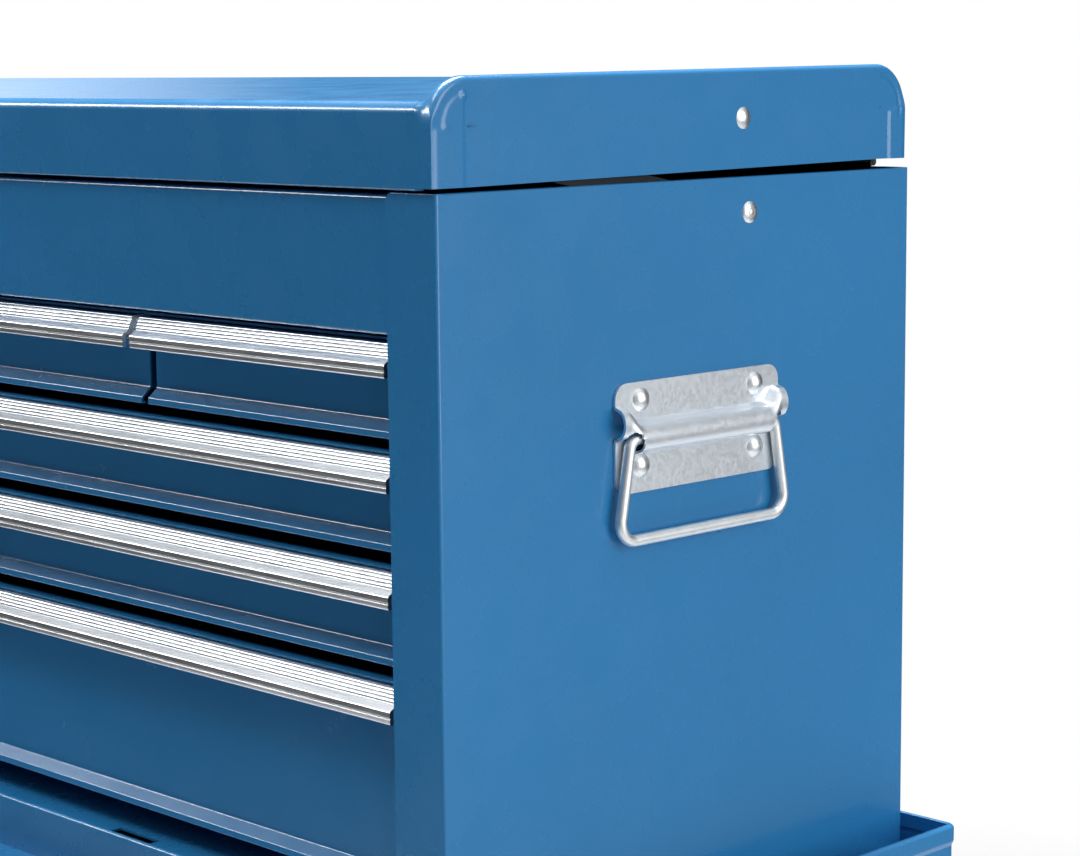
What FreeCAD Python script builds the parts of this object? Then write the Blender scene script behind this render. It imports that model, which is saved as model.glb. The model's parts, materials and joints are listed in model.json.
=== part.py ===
import FreeCAD, Part
import math
import os
import re
import Sketcher

# Rolling tool chest: a lidded top chest with six drawers, standing in the
# rimmed tray on top of a four-drawer roller cabinet on casters.
# Millimetres. +X right, -Y front, +Z up. Origin on the floor, at the centre
# of the cabinet's plan.

DOC = FreeCAD.newDocument("RollingToolChest")
SHEET = DOC.addObject("Spreadsheet::Sheet", "Sizes")

SIZES = [
    # whole object
    ("gauge", 1.2, "sheet steel of both casings"),
    ("drawer_gauge", 1.0, "sheet steel of the drawers"),
    ("caster_high", 100.0, "floor to the cabinet's underside"),
    ("cabinet_high", 585.0, "cabinet underside to tray floor"),
    ("cabinet_half", 418.0, "half the cabinet's width over the side panels"),
    ("cabinet_rear", 162.0, "cabinet's rear face, from the origin"),
    ("cabinet_front", -161.8, "cabinet's front flange face"),
    ("rim_high", 17.0, "tray wall above the tray floor"),
    ("bead_high", 10.0, "rolled bead at the top of the tray wall"),
    ("bead_out", 1.0, "how far the bead stands outside the wall"),
    ("lip_drop", 25.0, "front lip of the tray, downwards"),
    ("flange", 30.0, "front flange of every side panel"),
    ("rear_flange", 20.0, "rear flange of every side panel"),
    # top chest
    ("chest_half", 390.0, "half the chest's width"),
    ("chest_deep", 305.0, "chest body, front to rear"),
    ("chest_high", 335.0, "chest body height"),
    ("chest_front", -149.0, "chest's front flange face"),
    ("band_gap", 1.0, "till's front band below the body top"),
    ("band_drop", 58.0, "bottom of the till's front band below the body top"),
    ("band_top_reach", 14.0, "band's upper flange behind the flange face"),
    ("band_foot_reach", 20.0, "band's lower flange behind the flange face"),
    ("till_start", 4.0, "till floor's front edge behind the flange face"),
    ("divider_start", 22.0, "divider's front edge behind the flange face"),
    ("divider_foot", 10.0, "divider's flange under the till floor"),
    ("base_rise", 25.5, "base sheet above the tray floor"),
    ("slot_wide", 31.0, "slot in the base strip"),
    ("slot_deep", 6.0, "slot in the base strip, front to rear"),
    ("slot_start", 3.5, "slot's front edge behind the flange face"),
    ("slot_from_centre", 166.0, "slot's centre from the chest's centre"),
    # lid
    ("lid_skirt_gap", 1.0, "lid's front skirt above the body"),
    ("lid_front_gap", 2.0, "lid end's lower edge above the body, at the front"),
    ("lid_rear_gap", 4.4, "lid's lower edge above the body, at the rear"),
    ("lid_overhang", 2.0, "lid front ahead of the body"),
    ("lid_set_in", 2.5, "lid rear ahead of the body's rear"),
    ("lid_sheet_top", 36.5, "top sheet above the body, front"),
    ("lid_sheet_rear", 43.5, "top sheet above the body, rear"),
    ("lid_end_front_top", 46.0, "end panel's top above the body, front"),
    ("lid_end_rear_top", 49.0, "end panel's top above the body, rear"),
    ("lid_corner", 20.0, "rounded corner of the lid's end panel"),
    ("lid_rib", 10.0, "width of the raised rib at each end of the lid"),
    ("sheet_bend", 5.0, "outer bend radius of the lid's top sheet"),
    # hinge
    ("hinge_half", 370.0, "half the length of the lid hinge"),
    ("hinge_y", 304.2, "hinge axis behind the chest's front"),
    ("hinge_z", 2.2, "hinge axis above the body top"),
    ("knuckle", 2.0, "hinge knuckle radius"),
    ("hinge_pin", 1.0, "hinge pin radius"),
    ("knuckle_gap", 0.5, "space between hinge knuckles"),
    ("leaf_gauge", 1.0, "hinge leaf thickness"),
    ("fixed_leaf_high", 18.0, "fixed hinge leaf, downwards from the body top"),
    ("moving_leaf_high", 16.0, "moving hinge leaf"),
    # lid stays
    ("stay_lid_y", 185.1, "stay pivot on the lid, from the chest's front"),
    ("stay_lid_z", 25.8, "stay pivot on the lid, above the body top"),
    ("stay_body_y", 189.3, "stay pivot on the body, from the front"),
    ("stay_body_z", -15.9, "stay pivot on the body, from the body top"),
    ("lower_link", 120.0, "pivot spacing of the lower link"),
    ("upper_link", 115.0, "pivot spacing of the upper link"),
    ("link_wide", 12.0, "link width"),
    ("link_gauge", 1.5, "link thickness"),
    ("pivot", 2.0, "stay rivet shank radius"),
    ("elbow_play", 0.5, "radial clearance of the open elbow pivot"),
    ("lower_link_in", 1.3, "lower link's outer face inside the panel"),
    ("upper_link_in", 3.4, "upper link's outer face inside the panel"),
    ("link_play", 0.3, "spacer to link, along the rivet"),
    ("tail_out", 1.5, "how far a rivet's tail or spacer stands round its shank"),
    ("tail_high", 0.8, "thickness of a rivet's tail head"),
    ("tail_gap", 0.3, "link to tail head"),
    # drawers
    ("small_wide", 175.0, "width of the left and right small drawers"),
    ("small_gap", 5.0, "gap between small drawers"),
    ("side_play", 2.5, "gap between a drawer front and the flange"),
    ("face_set_back", 15.0, "drawer face behind the flange face"),
    ("drop_1", 61.0, "top of row 1 pull below the body top"),
    ("drop_2", 108.6, "row 2"),
    ("drop_3", 157.2, "row 3"),
    ("drop_4", 205.8, "row 4"),
    ("shallow", 41.6, "pull top to lip, shallow drawer"),
    ("deep", 90.4, "pull top to lip, deep drawer"),
    ("chest_box_rear", 283.0, "chest drawer rear behind the flange face"),
    ("cabinet_drop_1", 31.0, "top of cabinet row 1 pull below the tray"),
    ("cabinet_drop_2", 128.0, "cabinet row 2"),
    ("cabinet_drop_3", 225.0, "cabinet row 3"),
    ("cabinet_drop_4", 391.0, "cabinet row 4"),
    ("tall", 159.4, "pull top to lip, tall drawer"),
    ("cabinet_box_rear", 298.0, "cabinet drawer rear behind the flange face"),
    ("box_inset", 10.8, "drawer box side inside the drawer front's end"),
    ("box_drop", 6.0, "drawer box side's top below the pull's top"),
    ("floor_rise", 4.0, "drawer floor's underside above the lip"),
    ("runner", 8.3, "drawer's out-turned runner flange"),
    ("runner_start", 4.0, "runner's front end behind the drawer face"),
    ("runner_play", 0.3, "runner above the channel's lower lip"),
    ("channel_room", 11.5, "box side to channel web"),
    ("channel_lip", 8.5, "channel lip, inwards from the web"),
    ("channel_open", 2.8, "channel opening, lip to lip"),
    ("channel_start", 20.0, "channel's front end behind the flange face"),
    ("channel_stop", 4.0, "channel's rear end beyond the drawer's"),
    ("channel_flange", 12.0, "height of the channel's mounting flange"),
    ("strip_start", 9.0, "drawer's top strip behind the flange face"),
    # side handles
    ("plate_y", 154.0, "handle centre behind the chest's front"),
    ("plate_top", 85.0, "handle plate's top below the body top"),
    ("plate_long", 107.0, "handle plate, front to rear"),
    ("plate_high", 48.0, "handle plate height"),
    ("plate_gauge", 1.5, "handle plate thickness"),
    ("plate_corner", 6.0, "handle plate's corner radius"),
    ("barrel_drop", 109.0, "bail axis below the body top"),
    ("barrel_long", 90.0, "pressed barrel length"),
    ("bail_out", 4.5, "bail axis outside the side panel"),
    ("wire", 2.6, "bail wire radius"),
    ("bail_play", 0.3, "wire to barrel, radial"),
    ("bail_low", 44.0, "bail grip's centre below its axis"),
    ("bail_top_half", 48.9, "bail leg centre at the top, from the middle"),
    ("bail_foot_half", 57.0, "bail leg centre at the bottom"),
    ("bail_top_bend", 5.0, "bend radius at the top corners"),
    ("bail_foot_bend", 8.5, "bend radius at the bottom corners"),
    ("rivet_span_y", 75.0, "handle rivets, front to rear"),
    ("rivet_top", 92.8, "upper handle rivets below the body top"),
    ("rivet_foot", 121.5, "lower handle rivets below the body top"),
    ("rivet_head", 5.2, "handle rivet's head radius"),
    ("rivet_rise", 2.5, "handle rivet's head height"),
    ("stay_head", 4.9, "stay rivet's head radius"),
    ("stay_rise", 1.8, "stay rivet's head height"),
    # lock
    ("lock_x", -280.0, "lock centre"),
    ("lock_drop", 29.0, "lock centre below the body top"),
    ("lock_head", 10.0, "lock head radius"),
    ("lock_body", 8.0, "lock body radius"),
    ("lock_plug", 6.0, "lock plug radius"),
    ("lock_rim", 2.0, "lock head ahead of the band"),
    ("lock_long", 20.0, "lock barrel length"),
    ("lock_nut", 4.0, "lock nut thickness"),
    ("plug_proud", 0.4, "plug ahead of the barrel's head"),
    ("plug_long", 21.0, "lock plug length"),
    ("cam_long", 34.0, "lock cam length"),
    ("cam_wide", 12.0, "lock cam width"),
    ("cam_gauge", 1.6, "lock cam thickness"),
    ("keyway", 1.2, "width of the key slot"),
    ("keyway_high", 7.0, "height of the key slot"),
    ("keyway_deep", 9.4, "depth of the key slot"),
    ("turning_play", 0.06, "radial running clearance"),
    # casters
    ("wheel", 37.5, "wheel radius"),
    ("tread_half", 12.5, "half the tread's width"),
    ("hub_half", 14.0, "half the hub's width"),
    ("axle", 4.0, "axle radius"),
    ("caster_x", 368.0, "caster centre from the cabinet's centre"),
    ("caster_y", 117.0, "caster centre, front or rear"),
    ("trail", 28.0, "swivel axis to wheel axis"),
    ("leg_in", 15.0, "inner face of a fork leg from the wheel's middle"),
    ("leg_gauge", 2.5, "caster sheet thickness"),
    ("race_radius", 22.0, "swivel bearing radius"),
    ("race_high", 9.0, "underside of the swivel bearing below the cabinet"),
    ("fork_top", 12.0, "swivel fork's web below the cabinet"),
    ("fork_web", 2.7, "thickness of the swivel fork's web"),
    ("top_plate_wide", 60.0, "caster plate, left to right"),
    ("top_plate_long", 75.0, "caster plate, front to rear"),
    ("bolt_head", 6.5, "axle bolt head radius"),
    ("bolt_high", 3.9, "axle bolt head thickness"),
    ("fixed_foot", 11.5, "radius of a fixed bracket's foot round the axle"),
    ("swivel_foot", 11.0, "radius of a swivel fork's foot round the axle"),
    ("kingpin", 5.0, "kingpin radius"),
    ("pedal_y", 36.0, "brake pivot behind the swivel axis"),
    ("pedal_z", 82.0, "brake pivot above the floor"),
    ("pedal_half", 12.0, "half the brake pedal's width"),
    ("pedal_pin", 2.5, "brake pedal's pin radius"),
]

DERIVED = {
    "tray_floor": "(caster_high + cabinet_high)",
    "chest_top": "(caster_high + cabinet_high + chest_high)",
    "chest_rear": "(chest_front + chest_deep)",
    "lid_front": "(chest_front - lid_overhang)",
    "lid_rear": "(chest_front + chest_deep - lid_set_in)",
    "wall_in": "(chest_half - gauge)",
    "hinge_at_y": "(chest_front + hinge_y)",
    "hinge_at_z": "(caster_high + cabinet_high + chest_high + hinge_z)",
    "cabinet_in": "(cabinet_half - gauge)",
    "leg_out": "(leg_in + leg_gauge)",
    "small_at": "(chest_half - flange - side_play - small_wide / 2)",
    "divider_at": "(chest_half - flange - side_play - small_wide - small_gap / 2)",
    "handle_middle": "(chest_front + plate_y)",
}

PIECES = []
AXES = {
    "X": FreeCAD.Rotation(FreeCAD.Vector(0, 1, 0), 90),
    "Y": FreeCAD.Rotation(FreeCAD.Vector(1, 0, 0), -90),
    "Z": FreeCAD.Rotation(),
}
WORD = re.compile(r"[a-z][a-z_0-9]*")


def fill_sheet():
    for row, (alias, size, note) in enumerate(SIZES, start=1):
        SHEET.set(f"A{row}", note)
        SHEET.set(f"B{row}", str(size))
        SHEET.setAlias(f"B{row}", alias)
    DOC.recompute()


# ---------------------------------------------------------------- expressions


def expanded(text):
    """A size expression with the derived names written out."""
    return WORD.sub(lambda word: DERIVED.get(word.group(), word.group()), str(text))


def bound(text):
    """The same expression, pointing at the spreadsheet's cells."""
    aliases = {alias for alias, _, _ in SIZES}
    return WORD.sub(
        lambda word: "Sizes." + word.group() if word.group() in aliases else word.group(),
        expanded(text),
    )


def number(text):
    return float(SHEET.evalExpression(expanded(text)))


def place(item, x=0, y=0, z=0):
    for axis, text in zip("xyz", (x, y, z)):
        item.setExpression(f"Placement.Base.{axis}", bound(text))


# ----------------------------------------------------------------- primitives


def box(x, y, z, wide, long, high):
    """A block from its low corner (x, y, z)."""
    item = DOC.addObject("Part::Box", "Block")
    item.setExpression("Length", bound(wide))
    item.setExpression("Width", bound(long))
    item.setExpression("Height", bound(high))
    place(item, x, y, z)
    return item


def cylinder(axis, x, y, z, radius, length):
    """A cylinder that starts at (x, y, z) and runs along +axis."""
    item = DOC.addObject("Part::Cylinder", "Round")
    item.Placement = FreeCAD.Placement(FreeCAD.Vector(), AXES[axis])
    item.setExpression("Radius", bound(radius))
    item.setExpression("Height", bound(length))
    place(item, x, y, z)
    return item


def dome(x, y, z, head, rise):
    """A rivet head: a spherical cap on the +X side of (x, y, z)."""
    base, high = number(head), number(rise)
    ball = (base * base + high * high) / (2 * high)
    item = DOC.addObject("Part::Sphere", "Dome")
    item.Placement = FreeCAD.Placement(FreeCAD.Vector(), AXES["X"])
    item.setExpression("Radius", bound(f"({head} ^ 2 + {rise} ^ 2) / (2 * {rise})"))
    item.Angle1 = math.degrees(math.asin((ball - high) / ball))
    sink = f"(({head} ^ 2 + {rise} ^ 2) / (2 * {rise}) - {rise})"
    place(item, f"{x} - {sink}", y, z)
    return item


def joined(items):
    item = DOC.addObject("Part::MultiFuse", "Joined")
    item.Shapes = items
    item.Refine = True
    return item


def cut(base, tools):
    item = DOC.addObject("Part::Cut", "Cut")
    item.Base = base
    item.Tool = tools[0] if len(tools) == 1 else joined(tools)
    return item


def group(items):
    """Separate solids kept together in one node."""
    item = DOC.addObject("Part::Compound", "Group")
    item.Links = items
    return item


def mirrored(source):
    """The same piece on the other side of the plane x = 0."""
    item = DOC.addObject("Part::Mirroring", "Mirrored")
    item.Source = source
    item.Normal = FreeCAD.Vector(1, 0, 0)
    return item


def piece(label, item):
    item.Label = label
    PIECES.append(item)
    return item


def pair(label, item):
    """A right-hand piece and its mirror image on the left."""
    piece(f"{label}_right", item)
    piece(f"{label}_left", mirrored(item))
    return item


# ------------------------------------------------------------ PartDesign work


def new_sketch(body, role):
    sketch = body.newObject("Sketcher::SketchObject", "Outline")
    plane = [item for item in body.Origin.OriginFeatures if item.Role == role][0]
    sketch.AttachmentSupport = [(plane, "")]
    sketch.MapMode = "FlatFace"
    return sketch


def polygon(sketch, points):
    """A closed outline whose corners are held by the spreadsheet."""
    corners = [FreeCAD.Vector(number(u), number(v), 0) for u, v in points]
    count = len(corners)
    for index in range(count):
        line = Part.LineSegment(corners[index], corners[(index + 1) % count])
        sketch.addGeometry(line, False)
    for index in range(count):
        follows = (index + 1) % count
        sketch.addConstraint(Sketcher.Constraint("Coincident", index, 2, follows, 1))
    for index, (u, v) in enumerate(points):
        for kind, text in (("DistanceX", u), ("DistanceY", v)):
            rule = Sketcher.Constraint(kind, -1, 1, index, 1, number(text))
            place_in_list = sketch.addConstraint(rule)
            sketch.setExpression(f"Constraints[{place_in_list}]", bound(text))


def extruded(plane, points, length, start=0, middle=False):
    """A body padded from an outline; start is its offset along the pad."""
    body = DOC.addObject("PartDesign::Body", "Body")
    sketch = new_sketch(body, f"{plane}_Plane")
    polygon(sketch, points)
    pad = body.newObject("PartDesign::Pad", "Pad")
    pad.Profile = sketch
    pad.setExpression("Length", bound(length))
    pad.Midplane = middle
    if plane == "YZ":
        place(body, x=start)
    else:
        place(body, z=start)
    return body


def round_edges(body, corners, radius):
    """Fillets the pad's edges that pass through the given outline corners (y, z)."""
    DOC.recompute()
    base = body.Tip
    names = []
    for index, edge in enumerate(base.Shape.Edges, start=1):
        first = edge.Vertexes[0].Point
        last = edge.Vertexes[-1].Point
        runs_along_pad = abs(first.y - last.y) + abs(first.z - last.z) < 1e-6
        for y, z in corners:
            near = abs(first.y - number(y)) + abs(first.z - number(z)) < 1e-3
            if runs_along_pad and near:
                names.append(f"Edge{index}")
    fillet = body.newObject("PartDesign::Fillet", "Fillet")
    fillet.Base = (base, names)
    fillet.setExpression("Radius", bound(radius))


def turned(points, x, y, z):
    """A body turned about the X axis from an outline (along, radius)."""
    body = DOC.addObject("PartDesign::Body", "Body")
    sketch = new_sketch(body, "XZ_Plane")
    polygon(sketch, points)
    spin = body.newObject("PartDesign::Revolution", "Turned")
    spin.Profile = sketch
    spin.ReferenceAxis = (sketch, ["H_Axis"])
    spin.Angle = 360
    place(body, x, y, z)
    return body


# ---------------------------------------------------------------- the casings


def side_panel(half, front, rear, foot, high):
    """A right-hand side: outer skin, front flange and rear flange in one sheet."""
    inner = f"{half} - gauge"
    outline = [
        (f"{half} - flange", front),
        (half, front),
        (half, rear),
        (f"{half} - rear_flange", rear),
        (f"{half} - rear_flange", f"{rear} - gauge"),
        (inner, f"{rear} - gauge"),
        (inner, f"{front} + gauge"),
        (f"{half} - flange", f"{front} + gauge"),
    ]
    return extruded("XY", outline, high, start=foot)


def through_holes(x, radius, places):
    """Hole tools that run along X from x, at each (y, z)."""
    return [cylinder("X", x, y, z, radius, "rear_flange") for y, z in places]


def handle_rivet_places():
    rows = ("chest_top - rivet_top", "chest_top - rivet_foot")
    return [(f"handle_middle + {side} * rivet_span_y / 2", z) for z in rows for side in (-1, 1)]


def stay_body_place():
    return ("chest_front + stay_body_y", "chest_top + stay_body_z")


def stay_lid_place():
    return ("chest_front + stay_lid_y", "chest_top + stay_lid_z")


def chest_casing():
    skin = side_panel("chest_half", "chest_front", "chest_rear", "tray_floor", "chest_high")
    holes = through_holes("wall_in - 5", "pivot", handle_rivet_places() + [stay_body_place()])
    pair("chest_side", cut(skin, holes))

    inside_front = "chest_front + gauge"
    back = box(
        "-wall_in", "chest_rear - 2 * gauge", "tray_floor", "2 * wall_in", "gauge", "chest_high"
    )
    piece("chest_back_panel", back)

    # The band in front of the till: a face with flanges turned in above and below.
    band_foot = "chest_top - band_drop"
    band_top = "chest_top - band_gap"
    band = extruded(
        "YZ",
        [
            (inside_front, band_foot),
            ("chest_front + band_foot_reach", band_foot),
            ("chest_front + band_foot_reach", f"{band_foot} + gauge"),
            (f"{inside_front} + gauge", f"{band_foot} + gauge"),
            (f"{inside_front} + gauge", f"{band_top} - gauge"),
            ("chest_front + band_top_reach", f"{band_top} - gauge"),
            ("chest_front + band_top_reach", band_top),
            (inside_front, band_top),
        ],
        "2 * wall_in",
        middle=True,
    )
    hole = cylinder("Y", "lock_x", "chest_front", "chest_top - lock_drop", "lock_body", 8)
    piece("chest_front_band", cut(band, [hole]))

    floor_z = f"{band_foot} + gauge"
    till = box(
        "-wall_in",
        "chest_front + till_start",
        floor_z,
        "2 * wall_in",
        "chest_deep - 2 * gauge - till_start",
        "gauge",
    )
    piece("chest_till_floor", till)

    # The base sheet, with skirts turned down to the tray at the front and rear.
    base_top = "tray_floor + base_rise"
    rear = "chest_rear - 2 * gauge"
    base = extruded(
        "YZ",
        [
            (inside_front, "tray_floor"),
            (f"{inside_front} + gauge", "tray_floor"),
            (f"{inside_front} + gauge", f"{base_top} - gauge"),
            (f"{rear} - gauge", f"{base_top} - gauge"),
            (f"{rear} - gauge", "tray_floor"),
            (rear, "tray_floor"),
            (rear, base_top),
            (inside_front, base_top),
        ],
        "2 * wall_in",
        middle=True,
    )
    slots = [
        box(
            f"{side} * slot_from_centre - slot_wide / 2",
            "chest_front + slot_start",
            f"{base_top} - 5",
            "slot_wide",
            "slot_deep",
            10,
        )
        for side in (-1, 1)
    ]
    piece("chest_base_panel", cut(base, slots))

    # Two sheets that hang from the till floor between the small drawers.
    dividers = []
    for side in (-1, 1):
        middle = f"{side} * divider_at"
        low = "(chest_top - drop_1 - shallow)"
        under_till = f"{floor_z} - {low}"
        blade = box(
            f"{middle} - gauge / 2",
            "chest_front + divider_start",
            low,
            "gauge",
            "chest_box_rear - divider_start",
            under_till,
        )
        foot = box(
            f"{middle} - gauge / 2",
            "chest_front + divider_start",
            f"{floor_z} - gauge",
            "divider_foot",
            "chest_box_rear - divider_start",
            "gauge",
        )
        dividers.append(joined([blade, foot]))
    piece("chest_drawer_dividers", group(dividers))


def cabinet_casing():
    panel_high = "cabinet_high - gauge"
    skin = side_panel("cabinet_half", "cabinet_front", "cabinet_rear", "caster_high", panel_high)
    pair("cabinet_side", skin)
    back = box(
        "-cabinet_in",
        "cabinet_rear - 2 * gauge",
        "caster_high",
        "2 * cabinet_in",
        "gauge",
        panel_high,
    )
    piece("cabinet_back_panel", back)

    inside_front = "cabinet_front + gauge"
    inside_rear = "cabinet_rear - 2 * gauge"
    base = extruded(
        "YZ",
        [
            (inside_front, "caster_high"),
            (inside_rear, "caster_high"),
            (inside_rear, "caster_high + gauge"),
            (f"{inside_front} + gauge", "caster_high + gauge"),
            (f"{inside_front} + gauge", "caster_high + lip_drop"),
            (inside_front, "caster_high + lip_drop"),
        ],
        "2 * cabinet_in",
        middle=True,
    )
    piece("cabinet_base_panel", base)
    piece("cabinet_top_tray", joined(tray_sheets()))


def tray_sheets():
    """The tray: floor, three beaded walls and a lip turned down over the front."""
    lip_front = "cabinet_front - gauge"
    run = f"cabinet_rear - ({lip_front})"
    wide = "2 * cabinet_half"
    floor = box("-cabinet_half", lip_front, "tray_floor - gauge", wide, run, "gauge")
    lip = box("-cabinet_half", lip_front, "tray_floor - lip_drop", wide, "gauge", "lip_drop")
    rear = box("-cabinet_half", "cabinet_rear - gauge", "tray_floor", wide, "gauge", "rim_high")
    bead_z = "tray_floor + rim_high - bead_high"
    thick = "gauge + bead_out"
    rear_bead = box(
        "-cabinet_half - bead_out",
        "cabinet_rear - gauge",
        bead_z,
        "2 * (cabinet_half + bead_out)",
        thick,
        "bead_high",
    )
    sheets = [floor, lip, rear, rear_bead]
    for wall_x, bead_x in (
        ("cabinet_in", "cabinet_in"),
        ("-cabinet_half", "-cabinet_half - bead_out"),
    ):
        sheets.append(box(wall_x, lip_front, "tray_floor", "gauge", run, "rim_high"))
        sheets.append(box(bead_x, lip_front, bead_z, thick, run, "bead_high"))
    return sheets


# ------------------------------------------------------------------ the lid


def lid():
    top_front = "chest_top + lid_sheet_top"
    top_rear = "chest_top + lid_sheet_rear"
    skirt_foot = "chest_top + lid_skirt_gap"
    front_foot = "chest_top + lid_front_gap"
    rear_foot = "chest_top + lid_rear_gap"
    outer = [("lid_front", top_front), ("lid_rear", top_rear)]
    inner = [
        ("lid_rear - gauge", f"{top_rear} - gauge"),
        ("lid_front + gauge", f"{top_front} - gauge"),
    ]
    sheet = extruded(
        "YZ",
        [
            ("lid_front", skirt_foot),
            outer[0],
            outer[1],
            ("lid_rear", rear_foot),
            ("lid_rear - gauge", rear_foot),
            inner[0],
            inner[1],
            ("lid_front + gauge", skirt_foot),
        ],
        "2 * (chest_half - lid_rib)",
        middle=True,
    )
    round_edges(sheet, outer, "sheet_bend")
    round_edges(sheet, inner, "sheet_bend - gauge")
    piece("lid_top_sheet", sheet)

    # An end panel: a shallow pan, open towards the middle, whose hollow rim
    # stands above the top sheet. The sheet ends against the rim's inner wall.
    crown = [
        ("lid_front", "chest_top + lid_end_front_top"),
        ("lid_rear", "chest_top + lid_end_rear_top"),
    ]
    block = extruded(
        "YZ",
        [("lid_front", front_foot), ("lid_rear", rear_foot), crown[1], crown[0]],
        "lid_rib",
        start="chest_half - lid_rib",
    )
    round_edges(block, crown, "lid_corner")
    shoulder = "(lid_end_front_top - lid_corner)"
    under_sheet = "(lid_sheet_top - gauge)"
    pan = [
        lid_pocket("chest_half - lid_rib - 1", "gauge", "-1", shoulder),
        lid_pocket("chest_half - lid_rib - 1", "lid_corner / 3", f"{shoulder} - 1", under_sheet),
        lid_pocket(
            "chest_half - lid_rib + gauge",
            "lid_corner",
            f"{under_sheet} - 1",
            "lid_end_front_top - gauge",
        ),
    ]
    hole = through_holes("wall_in - 5", "pivot", [stay_lid_place()])
    pair("lid_end", cut(block, pan + hole))


def lid_pocket(inner_x, rim, low, high):
    """Room inside a lid end from inner_x to its skin; heights are above the body top."""
    return box(
        inner_x,
        f"lid_front + {rim}",
        f"chest_top + {low}",
        f"chest_half - gauge - ({inner_x})",
        f"lid_rear - lid_front - 2 * {rim}",
        f"{high} - ({low})",
    )


def hinge():
    """A long pinned hinge in the gap between the body and the lid, at the rear."""
    count = 7
    pitch = f"(2 * hinge_half / {count})"
    leaves = {"fixed": [], "moving": []}
    bores = {"fixed": [], "moving": []}
    for index in range(count):
        side = "moving" if index % 2 else "fixed"
        start = f"-hinge_half + {index} * {pitch} + knuckle_gap / 2"
        long = f"{pitch} - knuckle_gap"
        leaves[side].append(
            cylinder("X", start, "hinge_at_y", "hinge_at_z", "knuckle", long)
        )
        if side == "fixed":
            web = box(
                start,
                "chest_rear - 2 * gauge - leaf_gauge",
                "chest_top - 0.2",
                long,
                "leaf_gauge",
                "hinge_z + 0.2",
            )
        else:
            web = box(
                start,
                "lid_rear - gauge - leaf_gauge",
                "hinge_at_z + hinge_pin",
                long,
                "hinge_at_y - (lid_rear - gauge - leaf_gauge)",
                "leaf_gauge",
            )
        leaves[side].append(web)
    play = {"fixed": "hinge_pin", "moving": "hinge_pin + turning_play"}
    for side in leaves:
        bore = cylinder(
            "X", "-hinge_half - 5", "hinge_at_y", "hinge_at_z", play[side], "2 * hinge_half + 10"
        )
        bores[side].append(bore)
    # Each leaf is a strip against the inside of its panel.
    leaves["fixed"].append(
        box(
            "-hinge_half",
            "chest_rear - 2 * gauge - leaf_gauge",
            "chest_top - fixed_leaf_high",
            "2 * hinge_half",
            "leaf_gauge",
            "fixed_leaf_high - 0.2",
        )
    )
    leaves["moving"].append(
        box(
            "-hinge_half",
            "lid_rear - gauge - leaf_gauge",
            "hinge_at_z + hinge_pin",
            "2 * hinge_half",
            "leaf_gauge",
            "moving_leaf_high",
        )
    )
    pin = cylinder("X", "-hinge_half", "hinge_at_y", "hinge_at_z", "hinge_pin", "2 * hinge_half")
    fixed = cut(joined(leaves["fixed"]), bores["fixed"])
    piece("lid_hinge_fixed_leaf", group([fixed, pin]))
    piece("lid_hinge_moving_leaf", cut(joined(leaves["moving"]), bores["moving"]))


def link(long, pivot_y, pivot_z, lean, near_hole, far_hole, outer_x):
    """A flat bar with round ends and two holes, leaning from its first pivot."""
    end = "link_wide / 2"
    bar = box("-link_gauge", 0, "-link_wide / 2", "link_gauge", long, "link_wide")
    heads = [
        cylinder("X", "-link_gauge", 0, 0, end, "link_gauge"),
        cylinder("X", "-link_gauge", long, 0, end, "link_gauge"),
    ]
    holes = [
        cylinder("X", "-link_gauge - 1", 0, 0, near_hole, "link_gauge + 2"),
        cylinder("X", "-link_gauge - 1", long, 0, far_hole, "link_gauge + 2"),
    ]
    item = group([cut(joined([bar] + heads), holes)])
    tilt = FreeCAD.Rotation(FreeCAD.Vector(1, 0, 0), lean)
    item.Placement = FreeCAD.Placement(FreeCAD.Vector(), tilt)
    place(item, outer_x, pivot_y, pivot_z)
    return item


def elbow_place():
    """Where the two links of a stay meet, in front of both pivots (y, z)."""
    body_y = number("chest_front + stay_body_y")
    body_z = number("chest_top + stay_body_z")
    lid_y = number("chest_front + stay_lid_y")
    lid_z = number("chest_top + stay_lid_z")
    apart = math.hypot(lid_y - body_y, lid_z - body_z)
    lower, upper = number("lower_link"), number("upper_link")
    along = (lower * lower + apart * apart - upper * upper) / (2 * lower * apart)
    turn = math.atan2(lid_z - body_z, lid_y - body_y) + math.acos(along)
    return body_y + lower * math.cos(turn), body_z + lower * math.sin(turn)


def lid_stays():
    """A folding two-link stay inside each end, opened at its elbow pivot."""
    elbow_y, elbow_z = elbow_place()
    body_y, body_z = stay_body_place()
    lid_y, lid_z = stay_lid_place()
    lower_lean = math.degrees(math.atan2(elbow_z - number(body_z), elbow_y - number(body_y)))
    upper_lean = math.degrees(math.atan2(elbow_z - number(lid_z), elbow_y - number(lid_y)))
    running = "pivot + turning_play"
    lower_x = "wall_in - lower_link_in"
    upper_x = "wall_in - upper_link_in"
    lower = link("lower_link", body_y, body_z, lower_lean, running, "pivot", lower_x)
    stud = cylinder("X", "wall_in - 6", elbow_y, elbow_z, "pivot", 4.7)
    stud_head = cylinder("X", "wall_in - 6", elbow_y, elbow_z, "pivot + tail_out", "tail_high")
    pair("lid_stay_lower_link", joined([lower, stud, stud_head]))
    upper = link("upper_link", lid_y, lid_z, upper_lean, running, "pivot + elbow_play", upper_x)
    pair("lid_stay_upper_link", upper)


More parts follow.
